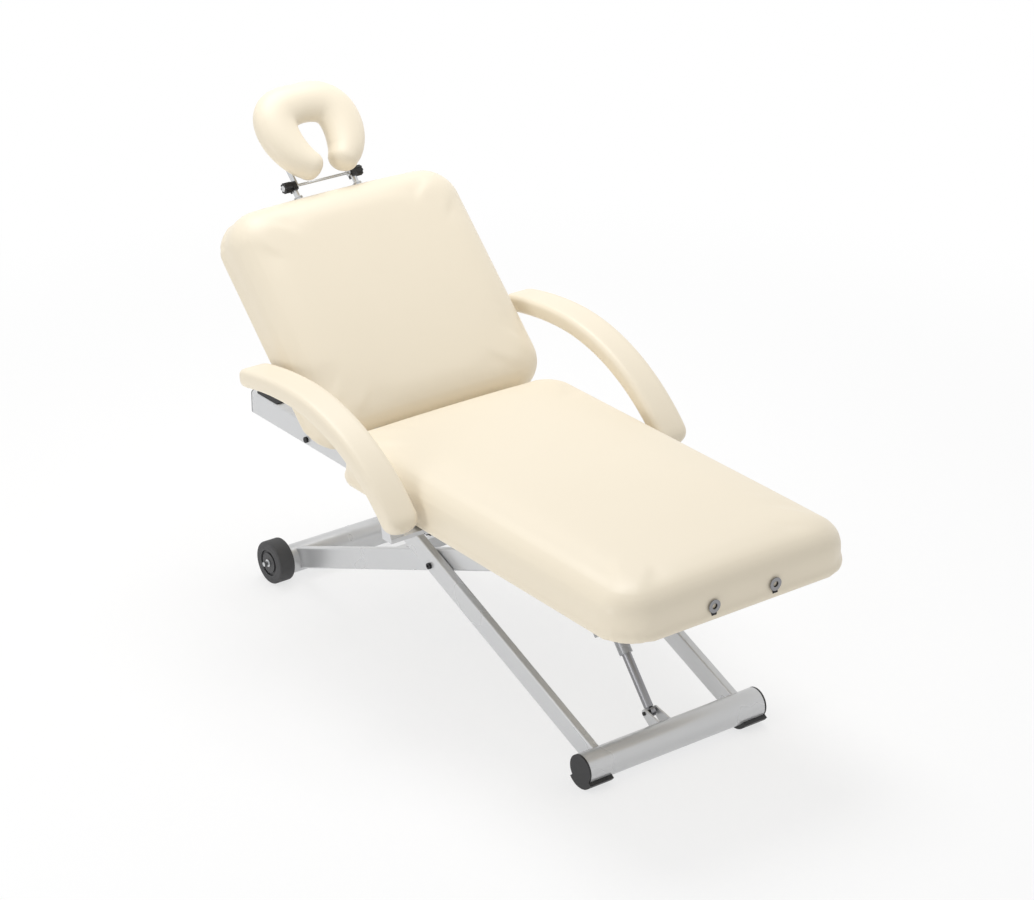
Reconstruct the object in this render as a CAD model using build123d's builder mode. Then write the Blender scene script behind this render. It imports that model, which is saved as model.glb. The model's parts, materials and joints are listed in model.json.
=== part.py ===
from build123d import *
import os
from math import atan2, asin, cos, degrees, hypot, radians, sin, tan

os.makedirs("parts", exist_ok=True)

# Treatment table: a scissor-lift base, a seat on two rails, a back that lifts, two
# arched armrests and a horseshoe face cradle. Millimetres. X runs across the table,
# -Y is the foot end, +Y the head end, +Z is up, and the floor is at zero.

# The whole table
scissor_y = -6.1  # the scissor pivot, seen from the middle of the whole length
base_reach = 707.0  # from the scissor pivot to the foot tube, and to the wheels
foot_height = 52.0  # the middle of the foot tube above the floor
scissor_height = 322.0  # the scissor pivot above the floor
pivot_drop = 8.0  # the scissor pivot lies this far under an arm's middle line
upper_reach = 222.0  # from the scissor pivot to the upper pivots
cushion_width = 762.0
seat_length = 1230.5
seat_foot_reach = 980.0  # from the scissor pivot to the seat's foot end
seat_bottom = 525.0
cushion_height = 130.0
back_rest_angle = 44.4
overrun = 2.0  # cuts run this far past the face they start at
fit = 0.05  # radial clearance of a pin in its hole
soft_gap = 0.3  # from a soft solid to the piece beside it
side_gap = 1.0  # between arms, rollers and plates that turn past one another

# Round tubes across the base
tube_radius = 40.5
tube_wall = 3.0
foot_tube_half = 284.5
wheel_tube_half = 238.0

# Scissor arms, rectangular tube
arm_depth = 60.0
arm_width = 24.0
arm_corner = 5.0
arm_wall = 2.5
outer_arm_face = 240.0  # outer face of an outer arm, from the middle plane
pin_radius = 6.0
bush_wall = 5.0
bolt_head_radius = 8.5
bolt_head_height = 7.0
hex_share = 0.45
washer_height = 2.0
washer_radius = 15.0
nut_height = 8.0
nut_radius = 9.5
pin_past = 4.0  # a clevis pin past its ears

# Cross tubes of the two scissor frames
outer_cross_radius = 16.0
outer_cross_wall = 2.5
outer_cross_share = 0.93  # of the way from the foot tube to the upper pivot
inner_cross_depth = 50.0
inner_cross_height = 30.0
inner_cross_share = 0.62  # of the way from the wheel tube to the scissor pivot

# Rubber foot caps
cap_disc = 5.0
cap_gap = 0.3
sole_radius = 52.0
sole_length = 74.0
sole_half_angle = 54.0
sole_turn = -4.0  # the sole's middle, from straight down towards the foot end
plug_reach = 23.0  # from the cap's outer face to the end of its plug

# Wheels
wheel_radius = 61.8
wheel_width = 50.0
wheel_gap = 7.0
hub_radius = 41.0
hub_web = 12.0
hub_boss_radius = 15.0
hub_disc_radius = 29.0
groove_depth = 5.0
tread_round = 5.0
axle_radius = 6.4
axle_past_wheel = 16.0
axle_collar_radius = 11.0
lock_ring = 1.5
plug_length = 10.0
hub_rim = 3.0

# Actuator between the foot tube and the seat frame
clevis_reach = 78.0  # from the foot tube's middle towards the head
clevis_rise = 34.0
clevis_half_gap = 15.0
clevis_root_share = 0.75  # half the ears' root, of the tube's radius
ear_thickness = 5.0
ear_round = 11.0
actuator_angle = 50.4
actuator_length = 430.0
actuator_pin_radius = 5.0
actuator_rod_radius = 12.5
actuator_tube_radius = 18.0
actuator_tube_start = 160.0
actuator_rod_past = 100.0
gearbox_length = 65.0
motor_radius = 30.0
motor_offset = 52.0
motor_start = 232.0
eye_radius = 14.0
eye_half_width = 7.0
hanger_gap = 4.0
gearbox_from_eye = 35.0
gearbox_round = 32.0
gearbox_small_round = 22.0
gearbox_edge = 6.0
eye_neck = 9.0
tube_floor = 4.0
hanger_round = 13.0

# Top frame
rail_width = 40.0
rail_height = 70.0
rail_corner = 8.0
rail_wall = 3.0
rail_outer_face = 234.0
rail_strip = 4.0  # rubber strip between a rail and what rests on it
rail_foot_end = 820.0  # from the scissor pivot towards the foot
rail_head_from_hinge = 579.5
rail_cap_thickness = 3.0
rail_plug = 15.0
bolt_radius = 4.0
rail_bolt_head = 8.5
cross_width = 40.0
cross_height = 30.0
cross_drop = 5.0  # the cross tubes' top below the rails' top
foot_cross_place = -700.0
track_cross_place = -140.0
back_cross_from_hinge = 303.5
back_cross_height = 20.0  # its middle above the rails' underside
spring_cross_from_hinge = 5.0
spring_pivot_from_hinge = 45.0
lug_thickness = 10.0
lug_outer_x = 212.0
lug_round = 18.0
roller_radius = 19.5
roller_width = 22.0
track_wall = 4.0
track_half_height = 20.0
track_foot_end = -380.0
track_head_end = -120.0
rest_pad_from_hinge = 454.5
rest_pad_length = 105.0
rest_pad_corner = 6.0

# Cushions and their boards
board_thickness = 15.0
board_inset = 7.0
corner_round = 108.0
top_round = 85.0
bottom_round = 8.0
crown = 7.0
draw_in = 3.0
seam_gap = 24.0
back_length = 713.0
back_arch = 8.0
hinge_from_seat = 30.0
hinge_height = 75.0  # above the underside of both cushions
hinge_eye_radius = 11.0
hinge_plate = 8.0
hinge_ear_x = 200.0
hinge_arm_x = 209.0
hinge_ear_start = 5.0  # from the seat's end
hinge_ear_root = 30.0
hinge_head_height = 5.0
hinge_room = 3.0  # round the hinge in the back
hinge_leg = 110.0
hinge_leg_height = 22.0

# Accessory sockets in the foot end and the head end
socket_x = 97.0
socket_height = 39.5  # above the underside of the seat
head_socket_height = 52.0
socket_wall = 2.0
rod_radius = 7.9
socket_length = 130.0
saddle_half = 8.0
head_flange_radius = 13.0
head_flange = 3.0
grommet_radius = 17.5
grommet_proud = 2.0

# Gas spring of the back
spring_height = 59.0  # its lower pivot below the seat's underside
spring_place = 270.0  # its upper pivot along the back, from the hinge
spring_drop = 38.0  # its upper pivot below the back's underside
spring_eye = 9.0
spring_eye_width = 9.0
spring_ear_gap = 11.0
spring_ear = 4.0
spring_pin = 4.0
spring_base = 4.0
spring_base_width = 60.0
spring_base_past = 20.0
lever_out = 42.0  # from the spring's upper pivot to the lever's
lever_drop = 12.0
lever_boss = 6.0
lever_pin = 3.0
lever_half = 4.0
lever_toe = 14.0
lever_reach = 386.0
lever_depth = 6.0
grip_half = 40.0
grip_radius = 6.0
cylinder_floor = 8.0
cylinder_head = 8.0
cylinder_radius = 11.0
cylinder_bore = 9.0
cylinder_length = 192.0
spring_rod_radius = 4.0
piston_length = 8.0
piston_start = 126.0

# Armrests
armrest_x = 441.0
armrest_width = 92.0
armrest_thickness = 50.0
armrest_top_place = 290.0  # its highest point, from the scissor pivot
armrest_top_height = 768.0
front_arc = 600.0
rear_arc = 1000.0
front_angle = 52.0
rear_angle = 15.4
armrest_round = 21.0
armrest_end_round = 30.0
arm_strap = 5.0
strap_half = 22.0
strap_low = 32.0
strap_middle = 41.0
strap_high = 50.0
post_high = 47.0
bar_width = 40.0
bar_height = 12.0
bar_place = -125.0  # from the scissor pivot
bar_inner_x = 245.0
bar_drop = 11.0
receiver_wall = 3.0
receiver_length = 120.0
lock_knob_radius = 14.0
lock_knob_height = 12.0
lock_stem_radius = 4.0
knob_from_mouth = 25.0
flute_share = 0.2

# Face cradle
cradle_pivot_out = 38.0  # from the back's head edge to the tilt pivot
clamp_length = 30.0
clamp_thickness = 14.0
clamp_round = 14.0
cradle_bar_radius = 4.0
strap_thickness = 5.0
strap_width = 20.0
knob_radius = 15.0
knob_height = 22.0
knob_lobes = 8
cradle_centre_out = 117.0
cradle_rise = 57.0
horseshoe_radius = 100.0
horseshoe_length_radius = 103.0
horseshoe_top = 43.8
horseshoe_swell = 24.4
horseshoe_ease = 10.3
horseshoe_end_angle = 150.0
horseshoe_stations = 8
horseshoe_end_round = 25.0
horseshoe_thickness = 80.0
plate_end_angle = 130.0
rod_in_socket = 110.0
plate_thickness = 6.0
plate_band = 40.0

# Control box under the seat
box_length = 150.0
box_width = 110.0
box_height = 45.0
box_from_seat_head = 220.5  # its middle, from the seat's head end
box_round = 6.0

# Worked-out places
foot_y = scissor_y - base_reach
wheel_y = scissor_y + base_reach
scissor_rise = scissor_height - foot_height
pivot_distance = hypot(base_reach, scissor_rise)
arm_angle = degrees(atan2(scissor_rise, base_reach) + asin(pivot_drop / pivot_distance))
arm_slope = tan(radians(arm_angle))
arm_cos = cos(radians(arm_angle))
arm_sin = sin(radians(arm_angle))
pivot_along = pivot_distance * cos(asin(pivot_drop / pivot_distance))
upper_along = (base_reach + upper_reach) / arm_cos
upper_height = foot_height + (base_reach + upper_reach) * arm_slope
outer_arm_x = outer_arm_face - arm_width
inner_arm_face = outer_arm_x - side_gap - washer_height
inner_arm_x = inner_arm_face - arm_width
rail_top = seat_bottom - rail_strip
rail_bottom = rail_top - rail_height
rail_inner_face = rail_outer_face - rail_width
half_width = cushion_width / 2
seat_foot_y = scissor_y - seat_foot_reach
seat_head_y = seat_foot_y + seat_length
hinge_y = seat_head_y + hinge_from_seat
hinge_z = seat_bottom + hinge_height
rail_head_y = hinge_y + rail_head_from_hinge
back_cross_y = hinge_y + back_cross_from_hinge
cross_z = rail_top - cross_drop - cross_height / 2

clevis_y = foot_y + clevis_reach
clevis_z = foot_height + clevis_rise
actuator_cos = cos(radians(actuator_angle))
actuator_sin = sin(radians(actuator_angle))
hanger_y = clevis_y + actuator_length * actuator_cos
hanger_z = clevis_z + actuator_length * actuator_sin
upper_y = scissor_y + upper_reach
roller_y = scissor_y - upper_reach
back_cos = cos(radians(back_rest_angle))
back_sin = sin(radians(back_rest_angle))
back_low = seam_gap - hinge_from_seat
back_high = back_low + back_length
cradle_pivot_u = back_high + cradle_pivot_out
head_socket_n = head_socket_height - hinge_height
cradle_centre_u = cradle_pivot_u + cradle_centre_out
cradle_mid_n = head_socket_n + cradle_rise
board_top_n = board_thickness - hinge_height

# Planes of the tilted pieces: x along the piece, or across the table on the back
back_plane = Plane(
    origin=(0, hinge_y, hinge_z), x_dir=(1, 0, 0), z_dir=(0, -back_sin, back_cos)
)
actuator_plane = Plane(
    origin=(0, clevis_y, clevis_z),
    x_dir=(1, 0, 0),
    z_dir=(0, actuator_cos, actuator_sin),
)


def outer_plane(x):
    """The side of an outer arm: x along the arm from the foot tube, y across it."""
    return Plane(origin=(x, foot_y, foot_height), x_dir=(0, arm_cos, arm_sin), z_dir=(1, 0, 0))


def inner_plane(x):
    """The side of an inner arm: x along the arm from the wheel tube, y across it."""
    return Plane(origin=(x, wheel_y, foot_height), x_dir=(0, -arm_cos, arm_sin), z_dir=(-1, 0, 0))


def back_side_plane(x):
    """A plane square to the back and along it: x up the back, y out of its front."""
    return Plane(origin=(x, hinge_y, hinge_z), x_dir=(0, back_cos, back_sin), z_dir=(1, 0, 0))


def make_arm(side):
    """One scissor arm: a rectangular tube, round at the top, on its foot's round tube."""
    pins = [(pivot_along, -pivot_drop), (upper_along, 0)]
    inside = arm_depth - 2 * arm_wall
    with BuildPart() as arm:
        with BuildSketch(side):
            with Locations((upper_along / 2, 0)):
                Rectangle(upper_along, arm_depth)
            with Locations((upper_along, 0)):
                Circle(arm_depth / 2)
        extrude(amount=arm_width)
        fillet(arm.faces().filter_by(Axis.X).edges(), radius=arm_corner)
        with BuildSketch(side.offset(arm_wall)):
            with Locations((upper_along / 2, 0)):
                Rectangle(upper_along, inside)
            with Locations((upper_along, 0)):
                Circle(inside / 2)
        extrude(amount=arm_width - 2 * arm_wall, mode=Mode.SUBTRACT)
        with BuildSketch(side.offset(arm_wall)):
            with Locations(*pins):
                Circle(pin_radius + fit + bush_wall)
        extrude(amount=arm_width - 2 * arm_wall)
        with BuildSketch(side):
            with Locations(*pins):
                Circle(pin_radius + fit)
            Circle(tube_radius)
        extrude(amount=arm_width, mode=Mode.SUBTRACT)
    return arm


def make_round_tube(centre, half_length, radius, wall):
    """A round tube across the table about a point of its own section."""
    with BuildPart() as tube:
        with BuildSketch(Plane.YZ.offset(-half_length)):
            with Locations(centre):
                Circle(radius)
                Circle(radius - wall, mode=Mode.SUBTRACT)
        extrude(amount=2 * half_length)
    return tube


def make_pad(plane, low, high, arch):
    """A cushion: drawn-in sides, round corners, a crowned top and round edges."""
    middle = (low + high) / 2
    with BuildPart() as pad:
        with BuildSketch(plane) as plan:
            with BuildLine():
                ThreePointArc((-half_width, low), (0, low + draw_in), (half_width, low))
                ThreePointArc(
                    (half_width, low), (half_width - draw_in, middle), (half_width, high - arch)
                )
                ThreePointArc((half_width, high - arch), (0, high), (-half_width, high - arch))
                ThreePointArc(
                    (-half_width, high - arch), (draw_in - half_width, middle), (-half_width, low)
                )
            make_face()
            fillet(plan.vertices(), radius=corner_round)
        extrude(amount=cushion_height)
        across = Plane(
            origin=plane.from_local_coords((0, high + overrun, 0)),
            x_dir=plane.x_dir,
            z_dir=-plane.y_dir,
        )
        side_height = cushion_height - crown
        with BuildSketch(across):
            with BuildLine():
                ThreePointArc(
                    (-half_width - overrun, side_height),
                    (0, cushion_height),
                    (half_width + overrun, side_height),
                )
                Line((half_width + overrun, side_height), (half_width + overrun, 0))
                Line((half_width + overrun, 0), (-half_width - overrun, 0))
                Line((-half_width - overrun, 0), (-half_width - overrun, side_height))
            make_face()
        extrude(amount=high - low + 2 * overrun, mode=Mode.INTERSECT)
        top = pad.faces().sort_by(Axis(plane.origin, plane.z_dir))[-1]
        bottom = pad.faces().sort_by(Axis(plane.origin, plane.z_dir))[0]
        fillet(top.edges(), radius=top_round)
        fillet(bottom.edges(), radius=bottom_round)
    return pad


# Foot tube, outer arms and their cross tube
foot_tube = make_round_tube((foot_y, foot_height), foot_tube_half, tube_radius, tube_wall)
foot_tube.part.label = "foot_tube"
export_step(foot_tube.part, "parts/foot_tube.step")

outer_arm_left = make_arm(outer_plane(-outer_arm_face))
outer_arm_left.part.label = "outer_arm_left"
export_step(outer_arm_left.part, "parts/outer_arm_left.step")

outer_arm_right = make_arm(outer_plane(outer_arm_x))
outer_arm_right.part.label = "outer_arm_right"
export_step(outer_arm_right.part, "parts/outer_arm_right.step")

with BuildPart() as outer_cross_tube:
    with BuildSketch(outer_plane(-outer_arm_x)):
        with Locations((outer_cross_share * upper_along, 0)):
            Circle(outer_cross_radius)
            Circle(outer_cross_radius - outer_cross_wall, mode=Mode.SUBTRACT)
    extrude(amount=2 * outer_arm_x)
outer_cross_tube.part.label = "outer_cross_tube"
export_step(outer_cross_tube.part, "parts/outer_cross_tube.step")

# Clevis of the actuator: two ears on the foot tube
clevis_turn = degrees(atan2(clevis_rise, clevis_reach))
clevis_distance = hypot(clevis_reach, clevis_rise)
with BuildPart() as actuator_clevis:
    for ear_x in (-clevis_half_gap - ear_thickness, clevis_half_gap):
        ear_side = Plane(
            origin=(ear_x, foot_y, foot_height),
            x_dir=(0, cos(radians(clevis_turn)), sin(radians(clevis_turn))),
            z_dir=(1, 0, 0),
        )
        with BuildSketch(ear_side):
            Polygon(
                (0, -tube_radius * clevis_root_share),
                (clevis_distance, -ear_round),
                (clevis_distance, ear_round),
                (0, tube_radius * clevis_root_share),
                align=None,
            )
            with Locations((clevis_distance, 0)):
                Circle(ear_round)
                Circle(actuator_pin_radius, mode=Mode.SUBTRACT)
            Circle(tube_radius, mode=Mode.SUBTRACT)
        extrude(amount=ear_thickness)
actuator_clevis.part.label = "actuator_clevis"
export_step(actuator_clevis.part, "parts/actuator_clevis.step")

# Bolts of the scissor pivots, their washers and the clevis pin of the actuator
pin_reach = outer_arm_face - inner_arm_x + side_gap + nut_height
with BuildPart() as scissor_bolts:
    for side in (-1, 1):
        outside = Plane(
            origin=(side * (outer_arm_face + bolt_head_height), scissor_y, scissor_height),
            x_dir=(0, 1, 0),
            z_dir=(-side, 0, 0),
        )
        with BuildSketch(outside):
            Circle(bolt_head_radius)
            RegularPolygon(hex_share * bolt_head_radius, 6, mode=Mode.SUBTRACT)
        extrude(amount=bolt_head_height / 2)
        with BuildSketch(outside.offset(bolt_head_height / 2)):
            Circle(bolt_head_radius)
        extrude(amount=bolt_head_height / 2)
        with BuildSketch(outside.offset(bolt_head_height)):
            Circle(pin_radius)
        extrude(amount=pin_reach)
        with BuildSketch(outside.offset(bolt_head_height + pin_reach - nut_height)):
            RegularPolygon(nut_radius, 6)
        extrude(amount=nut_height)
        with BuildSketch(outside.offset(bolt_head_height + arm_width)):
            Circle(washer_radius)
        extrude(amount=washer_height)
    with BuildSketch(Plane.YZ.offset(-clevis_half_gap - ear_thickness - pin_past)):
        with Locations((clevis_y, clevis_z)):
            Circle(actuator_pin_radius)
    extrude(amount=2 * (clevis_half_gap + ear_thickness + pin_past))
scissor_bolts.part.label = "scissor_bolts"
export_step(scissor_bolts.part, "parts/scissor_bolts.step")

# Wheel tube, inner arms and their cross tube
wheel_tube = make_round_tube((wheel_y, foot_height), wheel_tube_half, tube_radius, tube_wall)
wheel_tube.part.label = "wheel_tube"
export_step(wheel_tube.part, "parts/wheel_tube.step")

inner_arm_left = make_arm(inner_plane(-inner_arm_x))
inner_arm_left.part.label = "inner_arm_left"
export_step(inner_arm_left.part, "parts/inner_arm_left.step")

inner_arm_right = make_arm(inner_plane(inner_arm_face))
inner_arm_right.part.label = "inner_arm_right"
export_step(inner_arm_right.part, "parts/inner_arm_right.step")

with BuildPart() as inner_cross_tube:
    with BuildSketch(inner_plane(inner_arm_x)):
        with Locations((inner_cross_share * pivot_along, 0)):
            Rectangle(inner_cross_depth, inner_cross_height)
            Rectangle(
                inner_cross_depth - 2 * arm_wall,
                inner_cross_height - 2 * arm_wall,
                mode=Mode.SUBTRACT,
            )
    extrude(amount=2 * inner_arm_x)
inner_cross_tube.part.label = "inner_cross_tube"
export_step(inner_cross_tube.part, "parts/inner_cross_tube.step")

# Wheel axles: a plug in each end of the wheel tube, a spacer, the stub and a lock ring
wheel_start = wheel_tube_half + wheel_gap
wheel_end = wheel_start + wheel_width
with BuildPart() as wheel_axle:
    for side in (-1, 1):
        inward = Plane(
            origin=(side * (wheel_tube_half - plug_length), wheel_y, foot_height),
            x_dir=(0, 1, 0),
            z_dir=(side, 0, 0),
        )
        stub = Plane(
            origin=(side * wheel_tube_half, wheel_y, wheel_radius),
            x_dir=(0, 1, 0),
            z_dir=(side, 0, 0),
        )
        with BuildSketch(inward):
            Circle(tube_radius - tube_wall)
        extrude(amount=plug_length)
        with BuildSketch(stub):
            Circle(axle_collar_radius)
        extrude(amount=wheel_gap - side_gap)
        with BuildSketch(stub):
            Circle(axle_radius)
        extrude(amount=wheel_gap + wheel_width + axle_past_wheel)
        with BuildSketch(stub.offset(wheel_gap + wheel_width + side_gap)):
            Circle(axle_collar_radius)
        extrude(amount=lock_ring)
wheel_axle.part.label = "wheel_axle"
export_step(wheel_axle.part, "parts/wheel_axle.step")


def make_tyre(start):
    """A tyre with beveled, rounded shoulders, from its side nearest the foot tube's left."""
    with BuildPart() as tyre:
        with BuildSketch(Plane.YZ.offset(start)):
            with Locations((wheel_y, wheel_radius)):
                Circle(wheel_radius)
                Circle(hub_radius, mode=Mode.SUBTRACT)
        extrude(amount=wheel_width)
        outer = tyre.edges().filter_by(GeomType.CIRCLE).sort_by(SortBy.RADIUS)[-2:]
        fillet(outer, radius=tread_round)
    return tyre


def make_hub(start, outward):
    """A wheel's hub: rim, web and boss, a raised disc round the axle on the outside."""
    face = start if outward < 0 else start + wheel_width
    with BuildPart() as hub:
        with BuildSketch(Plane.YZ.offset(start)):
            with Locations((wheel_y, wheel_radius)):
                Circle(hub_radius)
        extrude(amount=wheel_width)
        outside = Plane(
            origin=(face, wheel_y, wheel_radius), x_dir=(0, 1, 0), z_dir=(-outward, 0, 0)
        )
        with BuildSketch(outside):
            Circle(hub_radius - hub_rim)
            Circle(hub_disc_radius, mode=Mode.SUBTRACT)
        extrude(amount=groove_depth, mode=Mode.SUBTRACT)
        with BuildSketch(outside.offset(wheel_width)):
            Circle(hub_radius - hub_rim)
            Circle(hub_boss_radius, mode=Mode.SUBTRACT)
        extrude(amount=groove_depth + hub_web - wheel_width, mode=Mode.SUBTRACT)
        with BuildSketch(outside):
            Circle(axle_radius + fit)
        extrude(amount=wheel_width, mode=Mode.SUBTRACT)
    return hub


tyre_left = make_tyre(-wheel_end)
tyre_left.part.label = "tyre_left"
export_step(tyre_left.part, "parts/tyre_left.step")

tyre_right = make_tyre(wheel_start)
tyre_right.part.label = "tyre_right"
export_step(tyre_right.part, "parts/tyre_right.step")

hub_left = make_hub(-wheel_end, -1)
hub_left.part.label = "hub_left"
export_step(hub_left.part, "parts/hub_left.step")

hub_right = make_hub(wheel_start, 1)
hub_right.part.label = "hub_right"
export_step(hub_right.part, "parts/hub_right.step")

# Rollers of the inner arms and their axles
roller_outer = inner_arm_x - side_gap
roller_inner = roller_outer - roller_width
with BuildPart() as roller_axles:
    for side in (-1, 1):
        head = Plane(
            origin=(side * (inner_arm_face + bolt_head_height), roller_y, upper_height),
            x_dir=(0, 1, 0),
            z_dir=(-side, 0, 0),
        )
        with BuildSketch(head):
            Circle(bolt_head_radius)
        extrude(amount=bolt_head_height)
        with BuildSketch(head):
            Circle(pin_radius)
        extrude(amount=bolt_head_height + inner_arm_face - roller_inner)
roller_axles.part.label = "roller_axles"
export_step(roller_axles.part, "parts/roller_axles.step")


def make_roller(start):
    """A plain roller on its axle, between the flanges of its track."""
    with BuildPart() as roller:
        with BuildSketch(Plane.YZ.offset(start)):
            with Locations((roller_y, upper_height)):
                Circle(roller_radius)
                Circle(pin_radius + fit, mode=Mode.SUBTRACT)
        extrude(amount=roller_width)
    return roller


roller_left = make_roller(-roller_outer)
roller_left.part.label = "roller_left"
export_step(roller_left.part, "parts/roller_left.step")

roller_right = make_roller(roller_inner)
roller_right.part.label = "roller_right"
export_step(roller_right.part, "parts/roller_right.step")


def around(radius, angle):
    """A point round a centre: the angle is measured from the first axis, in degrees."""
    return (radius * cos(radians(angle)), radius * sin(radians(angle)))


def make_foot_cap(side):
    """A cap on the foot tube's end: a disc, a plug and a rubber sole under the tube."""
    tube_end = foot_tube_half + cap_gap
    cap_end = tube_end + cap_disc
    low = sole_turn - sole_half_angle - 90
    high = sole_turn + sole_half_angle - 90
    inner = tube_radius + fit
    with BuildPart() as cap:
        with BuildSketch(Plane.YZ.offset(min(side * tube_end, side * cap_end))):
            with Locations((foot_y, foot_height)):
                Circle(tube_radius + fit)
        extrude(amount=cap_disc)
        with BuildSketch(Plane.YZ.offset(min(side * cap_end, side * (cap_end - plug_reach)))):
            with Locations((foot_y, foot_height)):
                Circle(tube_radius - tube_wall - fit)
        extrude(amount=plug_reach)
        with BuildSketch(
            Plane(
                origin=(min(side * cap_end, side * (cap_end - sole_length)), foot_y, foot_height),
                x_dir=(0, 1, 0),
                z_dir=(1, 0, 0),
            )
        ):
            with BuildLine():
                ThreePointArc(
                    around(sole_radius, low),
                    around(sole_radius, sole_turn - 90),
                    around(sole_radius, high),
                )
                Line(around(sole_radius, high), around(inner, high))
                ThreePointArc(
                    around(inner, high), around(inner, sole_turn - 90), around(inner, low)
                )
                Line(around(inner, low), around(sole_radius, low))
            make_face()
        extrude(amount=sole_length)
    return cap


foot_cap_left = make_foot_cap(-1)
foot_cap_left.part.label = "foot_cap_left"
export_step(foot_cap_left.part, "parts/foot_cap_left.step")

foot_cap_right = make_foot_cap(1)
foot_cap_right.part.label = "foot_cap_right"
export_step(foot_cap_right.part, "parts/foot_cap_right.step")


def make_rail(low_x):
    """A rail of the seat frame, with its bolt holes for the rear cross tube."""
    with BuildPart() as rail:
        with BuildSketch(Plane.XZ.offset(-scissor_y + rail_foot_end)):
            with Locations((low_x + rail_width / 2, rail_bottom + rail_height / 2)):
                RectangleRounded(rail_width, rail_height, rail_corner)
                RectangleRounded(
                    rail_width - 2 * rail_wall,
                    rail_height - 2 * rail_wall,
                    rail_corner - rail_wall,
                    mode=Mode.SUBTRACT,
                )
        extrude(amount=scissor_y - rail_foot_end - rail_head_y)
        with BuildSketch(Plane.YZ.offset(low_x)):
            with Locations((back_cross_y, rail_bottom + back_cross_height)):
                Circle(bolt_radius)
        extrude(amount=rail_width, mode=Mode.SUBTRACT)
    return rail


rail_left = make_rail(-rail_outer_face)
rail_left.part.label = "rail_left"
export_step(rail_left.part, "parts/rail_left.step")

rail_right = make_rail(rail_inner_face)
rail_right.part.label = "rail_right"
export_step(rail_right.part, "parts/rail_right.step")

# Black caps in the ends of the rails
rail_middle_x = rail_outer_face - rail_width / 2
with BuildPart() as rail_caps:
    for side in (-1, 1):
        foot_end = Plane(
            origin=(side * rail_middle_x, scissor_y - rail_foot_end, rail_top - rail_height / 2),
            x_dir=(1, 0, 0),
            z_dir=(0, -1, 0),
        )
        head_end = Plane(
            origin=(side * rail_middle_x, rail_head_y, rail_top - rail_height / 2),
            x_dir=(1, 0, 0),
            z_dir=(0, 1, 0),
        )
        for end in (foot_end, head_end):
            with BuildSketch(end):
                RectangleRounded(rail_width, rail_height, rail_corner)
            extrude(amount=rail_cap_thickness)
            with BuildSketch(end):
                RectangleRounded(
                    rail_width - 2 * rail_wall,
                    rail_height - 2 * rail_wall,
                    rail_corner - rail_wall,
                )
            extrude(amount=-rail_plug)
rail_caps.part.label = "rail_caps"
export_step(rail_caps.part, "parts/rail_caps.step")

# Cross tubes under the seat
with BuildPart() as seat_cross_tubes:
    for place in (foot_cross_place, hanger_y - scissor_y, track_cross_place):
        with BuildSketch(Plane.YZ.offset(-rail_inner_face)):
            with Locations((scissor_y + place, cross_z)):
                Rectangle(cross_width, cross_height)
                Rectangle(
                    cross_width - 2 * arm_wall, cross_height - 2 * arm_wall, mode=Mode.SUBTRACT
                )
        extrude(amount=2 * rail_inner_face)
seat_cross_tubes.part.label = "seat_cross_tubes"
export_step(seat_cross_tubes.part, "parts/seat_cross_tubes.step")

# Cross tubes under the back, the first with the ears of the gas spring
spring_foot_y = hinge_y + spring_pivot_from_hinge
spring_foot_z = seat_bottom - spring_height
ear_root_y = hinge_y + spring_cross_from_hinge + cross_width / 2
ear_middle_y = (ear_root_y + spring_foot_y) / 2
ear_start = spring_ear_gap / 2
with BuildPart() as back_cross_tubes:
    with BuildSketch(Plane.YZ.offset(-rail_inner_face)):
        with Locations((hinge_y + spring_cross_from_hinge, spring_foot_z)):
            Rectangle(cross_width, cross_height)
            Rectangle(
                cross_width - 2 * arm_wall, cross_height - 2 * arm_wall, mode=Mode.SUBTRACT
            )
    extrude(amount=2 * rail_inner_face)
    with BuildSketch(Plane.YZ.offset(-rail_inner_face)):
        with Locations((back_cross_y, rail_bottom + back_cross_height)):
            Rectangle(cross_width, cross_height)
    extrude(amount=2 * rail_inner_face)
    with BuildSketch(Plane.YZ.offset(-rail_inner_face + rail_plug)):
        with Locations((back_cross_y, rail_bottom + back_cross_height)):
            Rectangle(cross_width - 2 * arm_wall, cross_height - 2 * arm_wall)
    extrude(amount=2 * (rail_inner_face - rail_plug), mode=Mode.SUBTRACT)
    for side in (-1, 1):
        with BuildSketch(Plane.YZ.offset(side * rail_inner_face)):
            with Locations((back_cross_y, rail_bottom + back_cross_height)):
                Circle(bolt_radius)
        extrude(amount=-side * rail_plug, mode=Mode.SUBTRACT)
    for ear_x in (-ear_start - spring_ear, ear_start):
        with BuildSketch(Plane.YZ.offset(ear_x)):
            with Locations((ear_middle_y, spring_foot_z)):
                Rectangle(spring_foot_y - ear_root_y, 2 * spring_eye)
            with Locations((spring_foot_y, spring_foot_z)):
                Circle(spring_eye)
                Circle(spring_pin, mode=Mode.SUBTRACT)
        extrude(amount=spring_ear)
back_cross_tubes.part.label = "back_cross_tubes"
export_step(back_cross_tubes.part, "parts/back_cross_tubes.step")

# Lugs under the rails for the upper scissor pivots
with BuildPart() as lift_lugs:
    for side in (-1, 1):
        near = lug_outer_x - lug_thickness
        with BuildSketch(Plane.YZ.offset(min(side * near, side * lug_outer_x))):
            with Locations((upper_y, (upper_height + rail_bottom) / 2)):
                Rectangle(2 * lug_round, rail_bottom - upper_height)
            with Locations((upper_y, upper_height)):
                Circle(lug_round)
                Circle(pin_radius, mode=Mode.SUBTRACT)
            with Locations((upper_y, rail_bottom + lug_round)):
                Rectangle(2 * lug_round, 2 * lug_round, mode=Mode.SUBTRACT)
        extrude(amount=lug_thickness)
lift_lugs.part.label = "lift_lugs"
export_step(lift_lugs.part, "parts/lift_lugs.step")

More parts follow.
